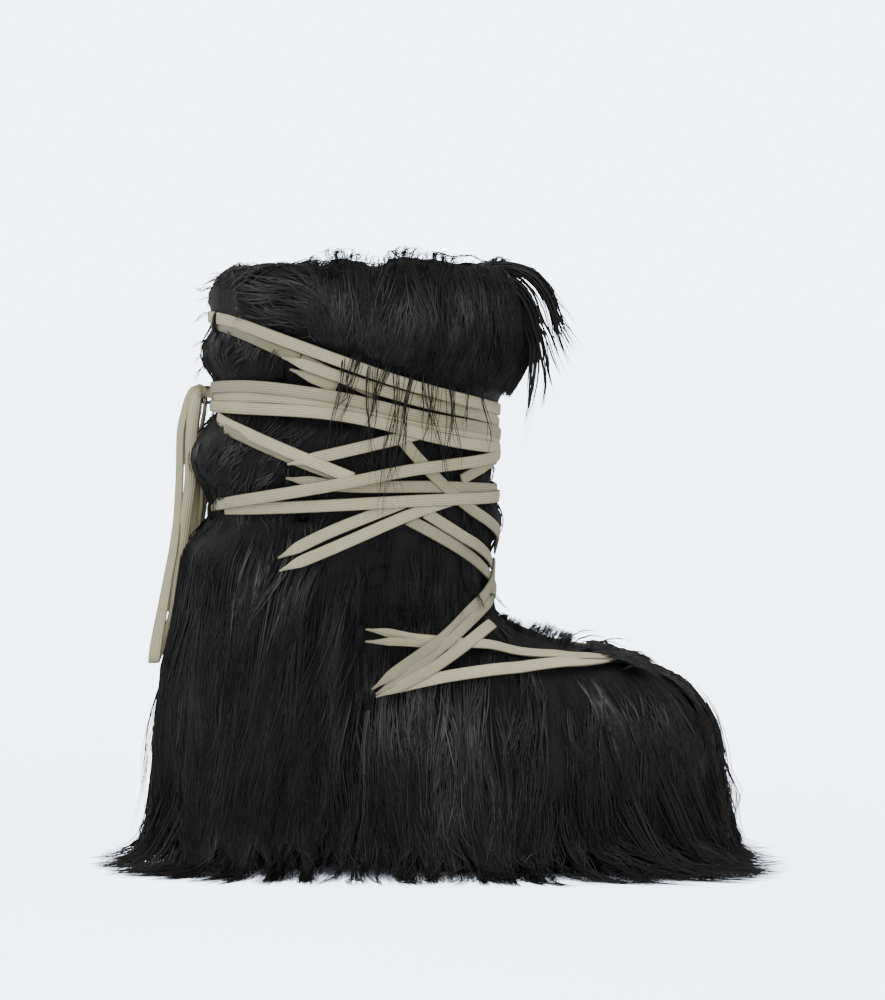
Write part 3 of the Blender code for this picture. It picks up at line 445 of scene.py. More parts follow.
laceRuns = (        # name, layer, how shaded, how wide, where it starts and ends, its places
    ("collar band", 2.0, 0.08, 7.0, "rear", "front",
     ((-127, 317), (-108, 312), (-72, 298), (-21, 279), (13, 269), (37, 263))),
    ("collar under band", 0.4, 0.60, 7.0, "rear", "end", ((-124, 313), (-104, 305), (-79, 293))),
    ("second band", 1.0, 0.15, 7.0, "loop", "front",
     ((-88, 294), (-70, 288), (-52, 281), (-10, 268), (37, 255))),
    ("slip under second", 0.0, 0.30, 7.0, "loop", "end", ((-84, 287), (-74, 284), (-58, 276))),
    ("slip down", 0.4, 0.60, 5.5, "end", "end", ((-78, 294), (-64, 287), (-48, 278), (-36, 272))),
    ("knot band", 3.0, 0.34, 7.0, "rear", "front",
     ((-130, 276), (-100, 277), (-52, 270), (-10, 259), (37, 249))),
    ("knot middle band", 2.2, 0.12, 7.0, "rear", "front",
     ((-130, 271), (-104, 271), (-80, 270), (-37, 261), (2, 252), (37, 244))),
    ("knot low band", 3.2, 0.08, 7.0, "rear", "front",
     ((-130, 266), (-100, 264), (-64, 262), (-37, 257), (2, 246), (37, 240))),
    ("falling band", 2.4, 0.00, 7.0, "end", "end",
     ((-125, 258.5), (-112, 252), (-96, 245), (-72, 234), (-49, 224))),
    ("falling under band", 1.0, 0.55, 5.5, "end", "end",
     ((-121, 252.5), (-110, 247), (-94, 240), (-74, 231), (-58, 225))),
    ("rising band", 2.0, 0.10, 7.0, "loop", "end", ((-85, 232), (-72, 235), (-27, 246), (4, 254))),
    ("slip middle", 0.8, 0.42, 7.0, "loop", "front",
     ((-86, 224), (-74, 222), (-56, 219), (-27, 219), (2, 219), (37, 217))),
    ("middle band", 3.2, 0.18, 7.0, "rear", "front",
     ((-130, 206), (-97, 213), (-44, 223), (-12, 230), (37, 238))),
    ("low band", 2.4, 0.12, 7.0, "end", "front",
     ((-121, 206), (-97, 206.5), (-32, 210), (8, 212), (37, 214))),
    ("crossing band", 1.5, 0.40, 7.0, "end", "end",
     ((-24, 250), (-14, 236), (5, 216), (25, 197), (35, 182))),
    ("upper tail", 1.0, 0.08, 7.0, "loop", "end", ((-90, 178), (-62, 193), (-32, 205), (-20, 210))),
    ("lower tail", 1.6, 0.05, 7.0, "loop", "end", ((-89, 171), (-50, 188), (-16, 204), (8, 212))),
    ("front fall", 0.0, 0.40, 7.0, "end", "end", ((-18, 200), (8, 185), (32, 164))),
    ("front fall beside", 0.8, 0.25, 7.0, "end", "end", ((-8, 204), (13, 189), (34, 174))),
    ("small cross", 0.4, 0.35, 7.0, "end", "end", ((12, 223), (24, 232), (36, 236))),
    ("instep band", 3.0, 0.45, 6.4, "end", "loop",
     ((33, 176), (31, 166), (24, 156), (12, 141), (-12, 121), (-37, 102))),
    ("instep band beside", 2.2, 0.40, 6.0, "end", "loop",
     ((32, 163), (27, 151), (14, 135.5), (-10, 115.5), (-35, 99))),
    ("instep low band", 1.6, 0.25, 7.0, "end", "loop", ((30.5, 137), (13, 124), (-13, 107), (-35, 97.5))),
    ("ankle band", 0.6, 0.15, 5.6, "loop", "toe",
     ((-41, 137), (-23, 136), (-1, 130), (19, 125.5), (60, 121), (98, 119))),
    ("ankle under band", 0.6, 0.30, 5.0, "loop", "end", ((-41, 131), (-23, 131), (-5, 128), (12, 125))),
    ("vamp band", 0.3, 0.00, 7.0, "loop", "toe",
     ((-35, 99), (-14, 105), (14, 110), (38, 112.5), (66, 115.5), (98, 118))),
)


# The outline of the fur: how its even layer differs from its solids, in mm

bulges = (          # where the fur stands off the boot: height, how high, how much; front and rear edge
    ("front", 199, 11, 8.0), ("front", 228, 6, 4.0), ("front", 152, 10, 1.0),
    ("rear", 180, 15, 8.0), ("rear", 236, 15, 7.0), ("rear", 297, 13, 5.0),
)
brow = (            # z and x of the front edge, from the vamp to the collar
    (134, 70), (137, 50), (139.5, 38), (143, 33.5), (150, 33), (158, 32), (172, 31), (182, 33),
    (191, 36.5), (199, 38.3), (207, 36.5), (214, 34), (228, 34.5), (240, 36), (262, 36), (268, 37.5),
    (276, 44), (288, 51.5), (300, 56), (311, 57), (323, 54), (336, 46), (345, 35), (360, 30),
)
laced = (134, 258)  # between these heights the hair keeps to that edge
crown = (           # x and z of the fur's upper edge, as the photo has it
    (-136, 328), (-128, 338), (-118, 345), (-104, 346), (-84, 346), (-68, 350), (-57, 355), (-46, 352),
    (-22, 352), (-12, 356), (5, 350), (25, 346), (38, 349), (50, 346), (62, 340), (74, 328), (88, 308),
    (104, 290),
)


def bulgeAt(p):
    edge = {"front": smooth(p[0], 12, 32), "rear": smooth(-p[0], 104, 130)}
    return sum(much * math.exp(-((p[2] - z) / high) ** 2) * edge[end] for end, z, high, much in bulges)


def pressAt(p):
    # the fur lies flatter than its solid on the vamp's ridge, the toe's front and the heel's back
    ridge = (5.2 * smooth(p[0], 26, 50) * smooth(124 - p[0], 0, 18)
             * smooth(p[2], 50, 88) * smooth(166 - p[2], 0, 16))
    toe = 2.4 * smooth(p[0], 146, 162) * smooth(112 - p[2], 0, 16)
    heel = (2.0 + 4.5 * smooth(72 - p[2], 0, 40)) * smooth(-p[0], 138, 154) * smooth(118 - p[2], 0, 20)
    return ridge + toe + heel


def sighted(x, z):
    # where the line from the eye through this place meets the fur
    way = (Vector((x, 0, z)) - eye).normalized()
    hit = furTree.ray_cast(eye, way)[0]
    return hit or furTree.find_nearest(Vector((x, -4, z)))[0]


def middlePoint(side, height):
    if side == "toe":
        return furTree.ray_cast(Vector((106, 0, 1000)), Vector((0, 0, -1)))[0]
    start = Vector((-1000 if side == "rear" else 1000, 0, height))
    return furTree.ray_cast(start, Vector((-start.x, 0, 0)))[0]


def mirrored(points):
    return [Vector((p.x, -p.y, p.z)) for p in reversed(points)]


def broughtOut(point):
    # a point inside the fur goes out to its face, from the shaft's middle or up from the foot's
    found = []
    for core in (Vector((-48.0, 0, point.z)), Vector((min(max(point.x, -20.0), 90.0), 0, 66))):
        away = (point - core).normalized()
        spot = furTree.ray_cast(core + away * 300, -away)[0]
        if spot is None or (spot - core).length < (point - core).length:
            return point
        found.append(spot)
    return min(found, key=lambda spot: (spot - point).length)


def liftAt(point, layer):
    # bands lie side by side, pressed into the fur, at the rear and front edges
    rear = smooth(-point.x, 90, 122)
    front = smooth(point.x, 12, 36)
    low = smooth(150 - point.z, 0, 16)
    low *= 1 - 0.8 * smooth(point.x, 5, 45)
    return (laceSize["low"] * low + laceSize["clear"] * (1 - 0.9 * rear - 0.5 * front)
            + layer * laceSize["layer"] * (1 - 0.75 * rear - 0.45 * front))


def laidPath(points, layer):
    # drawn taut, yet kept a clear step above the fur
    path = curveThrough(points, laceSize["step"])
    for turn in range(laceSize["rounds"]):
        middle = [a.lerp(c, 0.5).lerp(b, 0.35) for a, b, c in zip(path, path[1:], path[2:])]
        path = [path[0], *middle, path[-1]]
        if turn >= laceSize["rounds"] - laceSize["free"]:
            continue
        path = [broughtOut(point) for point in path]
        for index, point in enumerate(path):
            near, face = furTree.find_nearest(point)[:2]
            away = point - near
            inside = away.dot(face) < 0
            height = -away.length if inside else away.length
            lift = liftAt(point, layer)
            if height < lift:
                path[index] = point + hideNormal(point) * (lift - height)
    normals = [hideNormal(p) for p in path]
    for _ in range(6):
        inner = [(a + b * 2 + c).normalized() for a, b, c in zip(normals, normals[1:], normals[2:])]
        normals = [normals[0], *inner, normals[-1]]
    laid = []
    for point, face in zip(path, normals):
        still = point - face * pressAt(point)
        swollen = still + face * laceSize["swell"] * bulgeAt(point)
        edge = float(readOff(brow, point.z))
        swollen.x = min(swollen.x, max(still.x, edge + laceSize["past"]))
        laid.append(swollen)
    return laid, normals


def hideNormal(point):
    spot, face = hideTree.find_nearest(point)[:2]
    away = (point - spot).normalized()
    return face if away.dot(face) < 0.3 else (away + face * 0.5).normalized()


bandShape = ((-1.0, 0.0), (-0.93, 0.36), (-0.72, 0.50), (0.0, 0.58), (0.72, 0.50), (0.93, 0.36),
             (1.0, 0.0), (0.93, -0.36), (0.0, -0.5), (-0.93, -0.36))


def bandMesh(path, normals, width, thickness, tips=(False, False), shade=0.0):
    # rings of the band's rounded section, closed at both ends, with its own run and across values
    points, faces, across, runs, shades = [], [], [], [], []
    count, around = len(path), len(bandShape)
    run = 0.0
    total = sum((b - a).length for a, b in zip(path, path[1:]))
    for index, point in enumerate(path):
        ahead = path[min(index + 1, count - 1)]
        behind = path[max(index - 1, 0)]
        along = (ahead - behind).normalized()
        side = along.cross(normals[index]).normalized()
        up = side.cross(along).normalized()
        if index:
            run += (point - behind).length
        narrow = 1.0
        if tips[0]:
            narrow = min(narrow, 0.18 + 0.82 * smooth(run / 15))
        if tips[1]:
            narrow = min(narrow, 0.18 + 0.82 * smooth((total - run) / 15))
        for u, v in bandShape:
            thick = thickness * (1 + 0.5 * (1 - narrow))
            points.append(point + side * (u * width / 2 * narrow) + up * (v * thick + thick / 2))
            across.append((u + 1) / 2)
            runs.append(run)
            shades.append(shade[index] if isinstance(shade, list) else shade)
    for row in range(count - 1):
        for k in range(around):
            a, b = row * around + k, row * around + (k + 1) % around
            faces.append((a, b, b + around, a + around))
    faces.append(tuple(reversed(range(around))))
    faces.append(tuple((count - 1) * around + k for k in range(around)))
    return points, faces, across, runs, shades


def joinedBands(name, bands, finish):
    points, faces, across, runs, shades = [], [], [], [], []
    for band in bands:
        start = len(points)
        points += [p * mm for p in band[0]]
        faces += [tuple(start + i for i in f) for f in band[1]]
        across += band[2]
        runs += band[3]
        shades += band[4]
    mesh = meshFrom(name, points, faces)
    for key, values in (("across", across), ("run", runs), ("shade", shades)):
        mesh.attributes.new(key, "FLOAT", "POINT").data.foreach_set("value", values)
    shape = bmesh.new()
    shape.from_mesh(mesh)
    bmesh.ops.recalc_face_normals(shape, faces=shape.faces)
    shape.to_mesh(mesh)
    shape.free()
    return addObject(name, mesh, finish)


def makeLace():
    # a run that ends on the middle plane goes on over to the far side, and any other is made twice
    bands = []
    for _, layer, shade, wide, start, end, places in laceRuns:
        near = [sighted(x, z) for x, z in places]
        tips = (start == "loop", end == "loop")
        joined = [place in ("rear", "front", "toe") for place in (start, end)]
        if joined[0]:
            near.insert(0, middlePoint(start, near[0].z))
        if joined[1]:
            near.append(middlePoint(end, near[-1].z))
            whole, tips = [near + mirrored(near[:-1])], (tips[0], tips[0])
        elif joined[0]:
            whole, tips = [mirrored(near[1:]) + near], (tips[1], tips[1])
        else:
            whole = [near, [Vector((p.x, -p.y, p.z)) for p in near]]
        for points in whole:
            path, normals = laidPath(points, layer)
            bands.append(bandMesh(path, normals, wide, laceSize["thickness"], tips, shade))
    made = joinedBands("lace_bands", bands, lace)
    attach(made, "root")
    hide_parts("lace_wrap")


bow = {
    "width": 7.0,
    "thickness": 1.5,
    "knot": (-133.6, 0.0, 272.0),
    "near": 1.8,            # how much nearer the boot than its rows the near loop hangs
    "far": 9.0,             # and the far loop
    "shadeNear": 0.25,      # how much of its rows' shade the lace takes
    "shadeFar": 0.15,       # and what the far side adds to it
}
loopRoute = (       # x, y, z, where the face looks, how shaded: down, folded back and up behind itself
    (-134.5, -4, 272.5, (0, -1, 0), 0.3), (-138.6, -6, 275.0, (-0.2, -1, 0), 0.3),
    (-142.8, -7.0, 271.0, (-0.7, -0.8, 0), 0.6), (-145.8, -7.6, 262, (-0.8, -0.7, 0), 0.65),
    (-148.2, -8.4, 250, (-0.8, -0.7, 0), 0.65), (-150.0, -9.6, 227, (-0.8, -0.7, 0), 0.65),
    (-151.9, -10.8, 202, (-0.8, -0.7, 0), 0.62), (-154.0, -12, 184, (-0.7, -0.8, 0), 0.58),
    (-157.3, -13, 166, (-0.6, -0.8, 0), 0.5), (-160.4, -13.8, 149, (-0.4, -0.9, 0), 0.42),
    (-163.6, -14.6, 132, (-0.2, -1, 0), 0.36), (-165.2, -15.2, 121, (0, -1, 0), 0.3),
    (-165.5, -14.6, 118.4, (0, -0.7, -0.7), 0.2), (-165.4, -13, 117.9, (0, 0.2, -1), 0.2),
    (-164.6, -11.8, 121, (0, 1, 0), 0.3), (-160.4, -11, 131, (-0.4, 0.9, 0), 0.3),
    (-155.2, -11, 143, (-0.75, 0.65, 0), 0.1), (-152.6, -11.4, 161, (-0.6, 0.8, 0), 0.0),
    (-150, -11.8, 179, (-0.45, 0.9, 0), 0.0), (-147.4, -12.2, 200, (-0.35, 0.95, 0), 0.0),
    (-144, -13, 223, (-0.3, 0.95, 0), 0.0), (-142.0, -13.4, 246, (-0.25, 1, 0), 0.0),
    (-140.4, -12, 264, (-0.2, 1, 0), 0.0), (-138.8, -9.6, 272.5, (-0.1, 1, 0), 0.1),
    (-135.6, -6.2, 273.6, (0, 1, 0), 0.4),
)
endRoute = (
    (-134, -2.5, 270, (1, -0.15, 0), 0.4), (-134.8, -3.2, 262, (1, -0.15, 0), 0.4),
    (-137, -4, 249, (1, -0.2, 0), 0.5), (-139.6, -4.8, 230, (0.9, -0.45, 0), 0.6),
    (-141, -5.4, 211, (0.7, -0.7, 0), 0.7), (-144.2, -6, 190, (0.5, -0.85, 0), 0.7),
    (-150, -6.6, 164, (0.3, -0.95, 0), 0.7), (-154.5, -7, 146, (0.2, -1, 0), 0.7),
)


def makeKnot():
    # the lace wrapped twice over itself, with the strands that come out of it
    bands = []
    middle = Vector(bow["knot"])
    for turn, (y, radius, lean) in enumerate(((-1.8, 4.6, 0.25), (1.9, 4.2, -0.3))):
        path, normals = [], []
        for step in range(15):
            angle = math.tau * step / 14 + turn
            way = Vector((math.cos(angle), lean * math.sin(angle), 0.85 * math.sin(angle)))
            path.append(middle + Vector((0, y, 0)) + way * radius)
            normals.append(Vector((way.x, 0, way.z)))
        bands.append(bandMesh(path, normals, 6.4, bow["thickness"], shade=0.9))
    for sign in (-1, 1):
        route = ((-127.5, sign * 14, 272), (-130, sign * 8, 273), (-133, sign * 3, 272.5),
                 (-135.5, sign * -3, 271))
        path = curveThrough([Vector(p) for p in route], 2.0)
        bands.append(bandMesh(path, [Vector((-0.9, 0, 0.3))] * len(path), 6.0, bow["thickness"],
                              shade=0.5))
    made = joinedBands("bow_knot", bands, lace)
    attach(made, "root")
    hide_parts("lace_knot")


def hangingBand(route, sign, shift):
    # the band's path, its faces' directions and its shade, taken from the rows of its route
    rows = [Vector((x + shift * smooth(246 - z, 0, 30), sign * y, z)) for x, y, z, _, _ in route]
    path = curveThrough(rows, 2.5)
    marks = np.cumsum([0.0] + [(b - a).length for a, b in zip(rows, rows[1:])])
    places = np.linspace(0, marks[-1], len(path))
    looks = np.array([(x, sign * y, z) for _, _, _, (x, y, z), _ in route])
    looks = np.stack([np.interp(places, marks, looks[:, k]) for k in range(3)], axis=1)
    shade = [float(v) for v in np.interp(places, marks, [row[4] for row in route])]
    return path, [Vector(v).normalized() for v in looks], shade


def makeBow():
    for side, sign in (("near", 1), ("far", -1)):
        for kind, route in (("loop", loopRoute), ("end", endRoute)):
            shift = bow[side] if kind == "loop" else 1.0 if side == "near" else 3.0
            path, normals, shade = hangingBand(route, sign, shift)
            centred = [p - n * bow["thickness"] / 2 for p, n in zip(path, normals)]
            shade = [bow["shadeNear"] * v for v in shade]
            if side == "far":
                shade = [bow["shadeFar"] + 0.5 * v for v in shade]
            band = bandMesh(centred, normals, bow["width"], bow["thickness"], shade=shade)
            made = joinedBands(f"bow_{kind}_{side}", [band], lace)
            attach(made, "root")
            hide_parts(f"lace_{kind}_{side}")


makeKnot()
makeBow()
makeLace()
print("stage: lace and bow are made")


# Underfur: the fur's solids in one soft dark layer, which the locks lie on

underfur = {
    "voxel": 5.4,
    "sink": 1.2,        # how far it lies under the long locks
    "sinkHigh": 0.2,    # and under the short hair of the shaft
    "squash": 0.12,     # what is kept of what stands past the edges of the outline
    "browFrom": 134,    # from this height up in front
    "crownFrom": 330,   # and from this one along the top
    "crownLess": 1.5,   # how far under the crown the top is kept
    "hemEdges": ((1, 170.0), (-1, 168.0)),      # and near the floor past these, at toe and heel
    "hemTop": 40,
    "hem": 14.0,        # its lower edge over the floor
}


def keepLargest(mesh):
    # thin tips of the solids leave crumbs, which go
    bm = bmesh.new()
    bm.from_mesh(mesh)
    left, best = set(bm.verts), set()
    while left:
        part = {left.pop()}
        edge = list(part)
        while edge:
            beside = {v for e in edge.pop().link_edges for v in e.verts} - part
            part |= beside
            edge += beside
        left -= part
        best = max(best, part, key=len)
    bmesh.ops.delete(bm, geom=[v for v in bm.verts if v not in best], context="VERTS")
    bm.to_mesh(mesh)
    bm.free()


def makeUnderfur():
    bm = bmesh.new()
    for name in furNodes:
        bm.from_mesh(nodes[name].data)
    bmesh.ops.remove_doubles(bm, verts=bm.verts, dist=0.00002)
    mesh = bpy.data.meshes.new("underfur")
    bm.to_mesh(mesh)
    bm.free()
    rough = addObject("underfur_rough", mesh)
    remesh = rough.modifiers.new("remesh", "REMESH")
    remesh.mode = "VOXEL"
    remesh.voxel_size = underfur["voxel"] * mm
    soften = rough.modifiers.new("soften", "SMOOTH")
    soften.factor = 0.5
    soften.iterations = 8
    depsgraph = bpy.context.evaluated_depsgraph_get()
    even = bpy.data.meshes.new_from_object(rough.evaluated_get(depsgraph))
    bpy.data.objects.remove(rough)
    keepLargest(even)
    points = vertexRows(even, "co") / mm
    faces = [list(f.vertices) for f in even.polygons]
    normals = vertexRows(even, "normal")
    points = points + normals * np.array([bulgeAt(p) - pressAt(p) for p in points])[:, None]
    top = [(x, z - underfur["crownLess"]) for x, z in crown]
    for axis, other, edge, low in ((0, 2, brow, underfur["browFrom"]), (2, 0, top, underfur["crownFrom"])):
        most = readOff(edge, points[:, other])
        past = (points[:, axis] > most) & (points[:, 2] > low)
        points[past, axis] = (most + (points[:, axis] - most) * underfur["squash"])[past]
    guide = BVHTree.FromPolygons([Vector(p) for p in points], faces)
    for sign, most in underfur["hemEdges"]:
        past = (points[:, 0] * sign > most) & (points[:, 2] < underfur["hemTop"])
        points[past, 0] = sign * (most + (points[past, 0] * sign - most) * underfur["squash"])
    deep = np.where(points[:, 2] > 150, underfur["sinkHigh"], underfur["sink"])
    sunk = points - normals * deep[:, None]
    sunk[:, 2] = np.maximum(sunk[:, 2], underfur["hem"])
    even.vertices.foreach_set("co", (sunk * mm).ravel())
    even.shade_smooth()
    even.name = "underfur"
    made = addObject("underfur", even, underfurSkin)
    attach(made, "root")
    return guide, points, normals, faces


guideTree, skinPoints, skinNormals, skinFaces = makeUnderfur()
print("stage: underfur is made,", len(skinFaces), "faces")


# Fur: locks grow from guides that feel their way down the boot. All lengths are in mm.

gravity = Vector((0, 0, -1))
collarEdge = ((-127, 324), (-108, 319), (-72, 306), (-21, 288), (13, 277), (37, 271))
seamX = -46
room = {"x": (-215, 209), "y": 115.5, "z": 374}       # what the locks stay within
fur = {
    "collar": {"near": 350, "far": 190, "children": 11, "points": 6, "length": (28, 60),
               "lift": (0.4, 3.4), "spread": 6.4, "clump": 0.70, "width": 0.54, "wave": 1.5, "shift": 0.3,
               "cover": 4.8, "locks": 5, "pull": 0.6, "sway": 0.22, "lean": 0.20},
    "shaft": {"near": 380, "far": 170, "children": 8, "points": 5, "length": (12, 26),
              "lift": (0.2, 1.2), "spread": 4.6, "clump": 0.45, "width": 0.50, "wave": 1.2, "shift": 0.3,
              "cover": 1.5, "locks": 4, "pull": 0.35, "sway": 0.55, "lean": 0.35},
    "heel": {"near": 230, "far": 125, "children": 15, "points": 8, "length": (60, 235),
             "lift": (0.4, 3.0), "spread": 6.0, "clump": 0.80, "width": 0.80, "wave": 2.2, "shift": 0.12,
             "cover": 5.0, "gather": 1.5, "locks": 9, "pull": 0.8, "sway": 0.32, "lean": 0.12,
             "taper": 2.0, "uneven": 0.26},
    "foot": {"near": 316, "far": 170, "children": 11, "points": 8, "length": (50, 175),
             "lift": (0.2, 2.6), "spread": 6.0, "clump": 0.80, "width": 0.80, "wave": 2.2, "shift": 0.12,
             "cover": 3.4, "gather": 1.5, "locks": 11, "pull": 0.8, "sway": 0.32, "lean": 0.12,
             "taper": 2.0, "uneven": 0.26},
}
paintedSheen = (           # painted highlights: where the fur's colour is made lighter as if it shone there: x, z, how far each way, how much
    (-104, 330, 26, 14, 3.00), (-36, 317, 32, 20, 0.92), (22, 318, 20, 18, 0.50), (-100, 300, 26, 9, 0.80),
    (-98, 236, 36, 17, 1.00), (-110, 178, 24, 28, 1.15), (-70, 176, 20, 24, 0.55), (-4, 88, 28, 14, 2.45),
    (14, 42, 40, 26, 0.40), (96, 103, 36, 18, 0.76), (-48, 90, 12, 50, 0.25),
    (-125, 60, 14, 50, 0.14), (0, 205, 26, 10, 0.30),
)
dullness = 0.08     # what the rest of the fur keeps of that
guideSteps = 20     # spans of a guide
leadStep = 14       # where along it a guide looks for the one that leads it
chance = np.random.default_rng(7)


def edgeOfCollar(x):
    for (x0, z0), (x1, z1) in zip(collarEdge, collarEdge[1:]):
        if x < x1:
            return z0 + min(max((x - x0) / (x1 - x0), 0), 1) * (z1 - z0)
    return collarEdge[-1][1]


def regionAt(p):
    if p.z > edgeOfCollar(p.x):
        return "collar"
    if p.x < seamX:
        return "shaft" if p.z > 204 else "heel"
    return "shaft" if p.z > 142 else "foot"


def outFrom(p):
    # level and away from the middle line of the foot
    x = min(max(p.x, -92.0), 92.0)
    away = Vector((p.x - x, p.y, 0))
    return away.normalized() if away.length > 1 else Vector((1, 0, 0))


def flowAt(region, p):
    out = outFrom(p)
    side = -1 if p.y < 0 else 1
    high = 28 + 14 * smooth(p.x, 40, 110) - 24 * smooth(p.x, 140, 168) - 8 * smooth(-p.x, 120, 150)
    splay = smooth(high - p.z, 0, high)
    if region == "collar":
        rear = smooth(-p.x, 56, 92) * smooth(p.z, 296, 316)
        return Vector((1.3 * rear, 0, -1 + 0.85 * rear)) + out * 0.1 * (1 - rear)
    if region == "shaft":
        return gravity + Vector((-0.25 * smooth(-p.x, 60, 100) * smooth(p.z, 196, 210), 0, 0))
    if region == "heel":
        sweep = 0.34 * smooth(p.z, 120, 190)
        rear = smooth(-p.x, 95, 125)
        return (gravity * (1 - 0.9 * splay) + Vector((-sweep - 0.04 * rear - 0.45 * rear * splay, 0, 0))
                + out * (1.2 * splay))
    toe = smooth(p.x, 10, 130)
    ridge = smooth(24 - abs(p.y), 0, 24) * smooth(p.z, 85, 105)
    slope = smooth(p.z, 40, 100)
    forward = 0.05 + smooth(p.x, 40, 150) * (0.06 + 0.5 * slope) + 0.8 * ridge + 1.25 * toe * splay
    return (gravity * (1 - 0.3 * ridge) * (1 - 0.9 * splay) + out * (splay * (1.35 - 0.45 * toe))
            + Vector((forward, 0.25 * side * slope * (1 - ridge), 0)))


def growGuide(region, root, normal, length, wild, lift=None):
    # a path that follows the fur's flow, kept on or above the underfur and the floor
    step = length / guideSteps
    point = root.copy()
    heading = (flowAt(region, root).normalized() + normal * 0.4).normalized()
    path, normals = [point.copy()], [normal.copy()]
    rise = lift or fur[region]["lift"]
    swing, phase = chance.uniform(38, 75), chance.uniform(0, math.tau)
    ends = ((0, 1, room["x"][1] - 2), (0, -1, room["x"][0] + 2),
            (1, 1, room["y"] + 4), (1, -1, -4 - room["y"]))
    bounds = [(axis, limit - sign * 26 * chance.random() ** 1.5) for axis, sign, limit in ends]
    for index in range(guideSteps):
        share = (index + 1) / guideSteps
        face, _, gap = guideTree.find_nearest(point)[1:]
        want = flowAt(region, point).normalized()
        if gap < 12 and want.dot(face) < 0 and point.z > 30:
            want = (want - face * want.dot(face)).normalized()
        calm = 0.25 + 0.75 * smooth(point.z, 192, 208) if region == "shaft" else 1.0
        turn = calm * (fur[region]["sway"] * (math.sin(index * step / swing * math.tau + phase)
                                       + 1.6 * field.noise(point * 0.021)) + fur[region]["lean"] * wild)
        want = (want + want.cross(face) * turn).normalized()
        heading = (heading * 0.6 + want * 0.4).normalized()
        point = point + heading * step
        if region == "collar" and not lift and point.z < edgeOfCollar(point.x):
            break
        outside = any(point[axis] * (1 if limit > 0 else -1) > abs(limit) for axis, limit in bounds)
        if point.z < 12 and outside:
            break
        spot, face = guideTree.find_nearest(point)[:2]
        height = (point - spot).dot(face)
        target = rise[0] + (rise[1] - rise[0]) * share
        if height < target and point.z > 12:
            point += face * min(target - height, 3.0)
        elif height > target and point.z > 24 and not lift:
            point -= (point - spot).normalized() * min((height - target) * 0.6, 3.0)
        if point.z < 0.8:
            point.z = 0.8
            heading = Vector((heading.x, heading.y, 0)).normalized()
        path.append(point.copy())
        normals.append(face.copy())
    if len(path) < 4:
        return None
    if len(path) < guideSteps + 1:
        marks = np.linspace(0, len(path) - 1, guideSteps + 1)
        low = [min(int(m), len(path) - 2) for m in marks]
        path = [path[k].lerp(path[k + 1], m - k) for k, m in zip(low, marks)]
        normals = [normals[k] for k in low]
    return path, normals


def gathered(guides, every, pull):
    # draws the guides together into larger locks, each round a guide that leads it
    tracks = [np.array([tuple(p) for p in path]) for path, _ in guides[::every]]
    made = []
    for index, (path, normals) in enumerate(guides):
        if index % every:
            mine = np.array([tuple(p) for p in path])
            track = min(tracks, key=lambda t: np.linalg.norm(t - mine[leadStep], axis=1).min())
            ahead = unit(np.gradient(track, axis=0))
            near = np.linalg.norm(track[None] - mine[:, None], axis=2).argmin(axis=1)
            apart = track[near] - mine
            apart -= ahead[near] * (apart * ahead[near]).sum(axis=1, keepdims=True)
            far = np.linalg.norm(apart, axis=1, keepdims=True)
            weight = pull * np.linspace(0, 1, len(mine))[:, None] ** 1.4 / (1 + (far / 16) ** 2)
            path = [Vector(p) for p in mine + apart * weight]
        made.append((path, normals))
    return made


def rootSpots(count):
    # even random places on the outer side of the underfur
    corners = np.array([f[:3] for f in skinFaces] + [[f[0], f[2], f[3]] for f in skinFaces if len(f) > 3])
    a, b, c = (skinPoints[corners[:, k]] for k in range(3))
    cross = np.cross(b - a, c - a)
    area = np.linalg.norm(cross, axis=1) / 2
    pick = chance.choice(len(area), count, p=area / area.sum())
    u, v = chance.random(count), chance.random(count)
    over = u + v > 1
    u[over], v[over] = 1 - u[over], 1 - v[over]
    spots = a[pick] + (b - a)[pick] * u[:, None] + (c - a)[pick] * v[:, None]
    return spots, unit(cross[pick])


def isOuter(p, n):
    spot = hideTree.find_nearest(p)[0]
    if p.z > 340 and n.z > 0.3:
        return True
    if p.z < 42:
        return n.dot(outFrom(p)) > 0.25 and p.z > 16
    return (p - spot).length > 2.4 and n.dot(p - spot) > 0


def lengthAt(region, p, luck):
    low, high = fur[region]["length"]
    if region == "heel":
        return p.z * 1.04 + 10 + 30 * luck if luck > 0.25 else low + (p.z - 60) * luck + 12
    if region == "foot":
        toe = smooth(p.x, 30, 140)
        drop = p.z * 1.05 + max(0.0, 150 - p.x) * 0.30 * smooth(p.z, 95, 125)
        middle = smooth(100 - p.x, 0, 40)
        reach = 18 + 36 * middle + (30 + 14 * toe) * luck
        return drop + reach * (1 - 0.6 * smooth(p.x, 130, 158)) if luck > 0.25 else low + drop * 0.3 * luck
    return (low + (high - low) * luck) * (1.0 if region == "collar" or p.z > 204 else 2.0)


def makeGuides():
    found = {(region, side): [] for region in fur for side in ("near", "far")}
    spots, faces = rootSpots(20000)
    for spot, face in zip(spots, faces):
        p, n = Vector(spot), Vector(face)
        region, side = regionAt(p), "near" if p.y < 0 else "far"
        group = found[region, side]
        if len(group) >= fur[region][side] or not isOuter(p, n):
            continue
        if region == "heel" and chance.random() > smooth(p.z, 20, 190) + 0.6:
            continue
        luck, wild = chance.random(), chance.normal()
        guide = growGuide(region, p, n, lengthAt(region, p, luck), wild)
        if guide:
            group.append(guide)
    return {(region, side): gathered(group, fur[region]["locks"], fur[region]["pull"])
            for (region, side), group in found.items()}


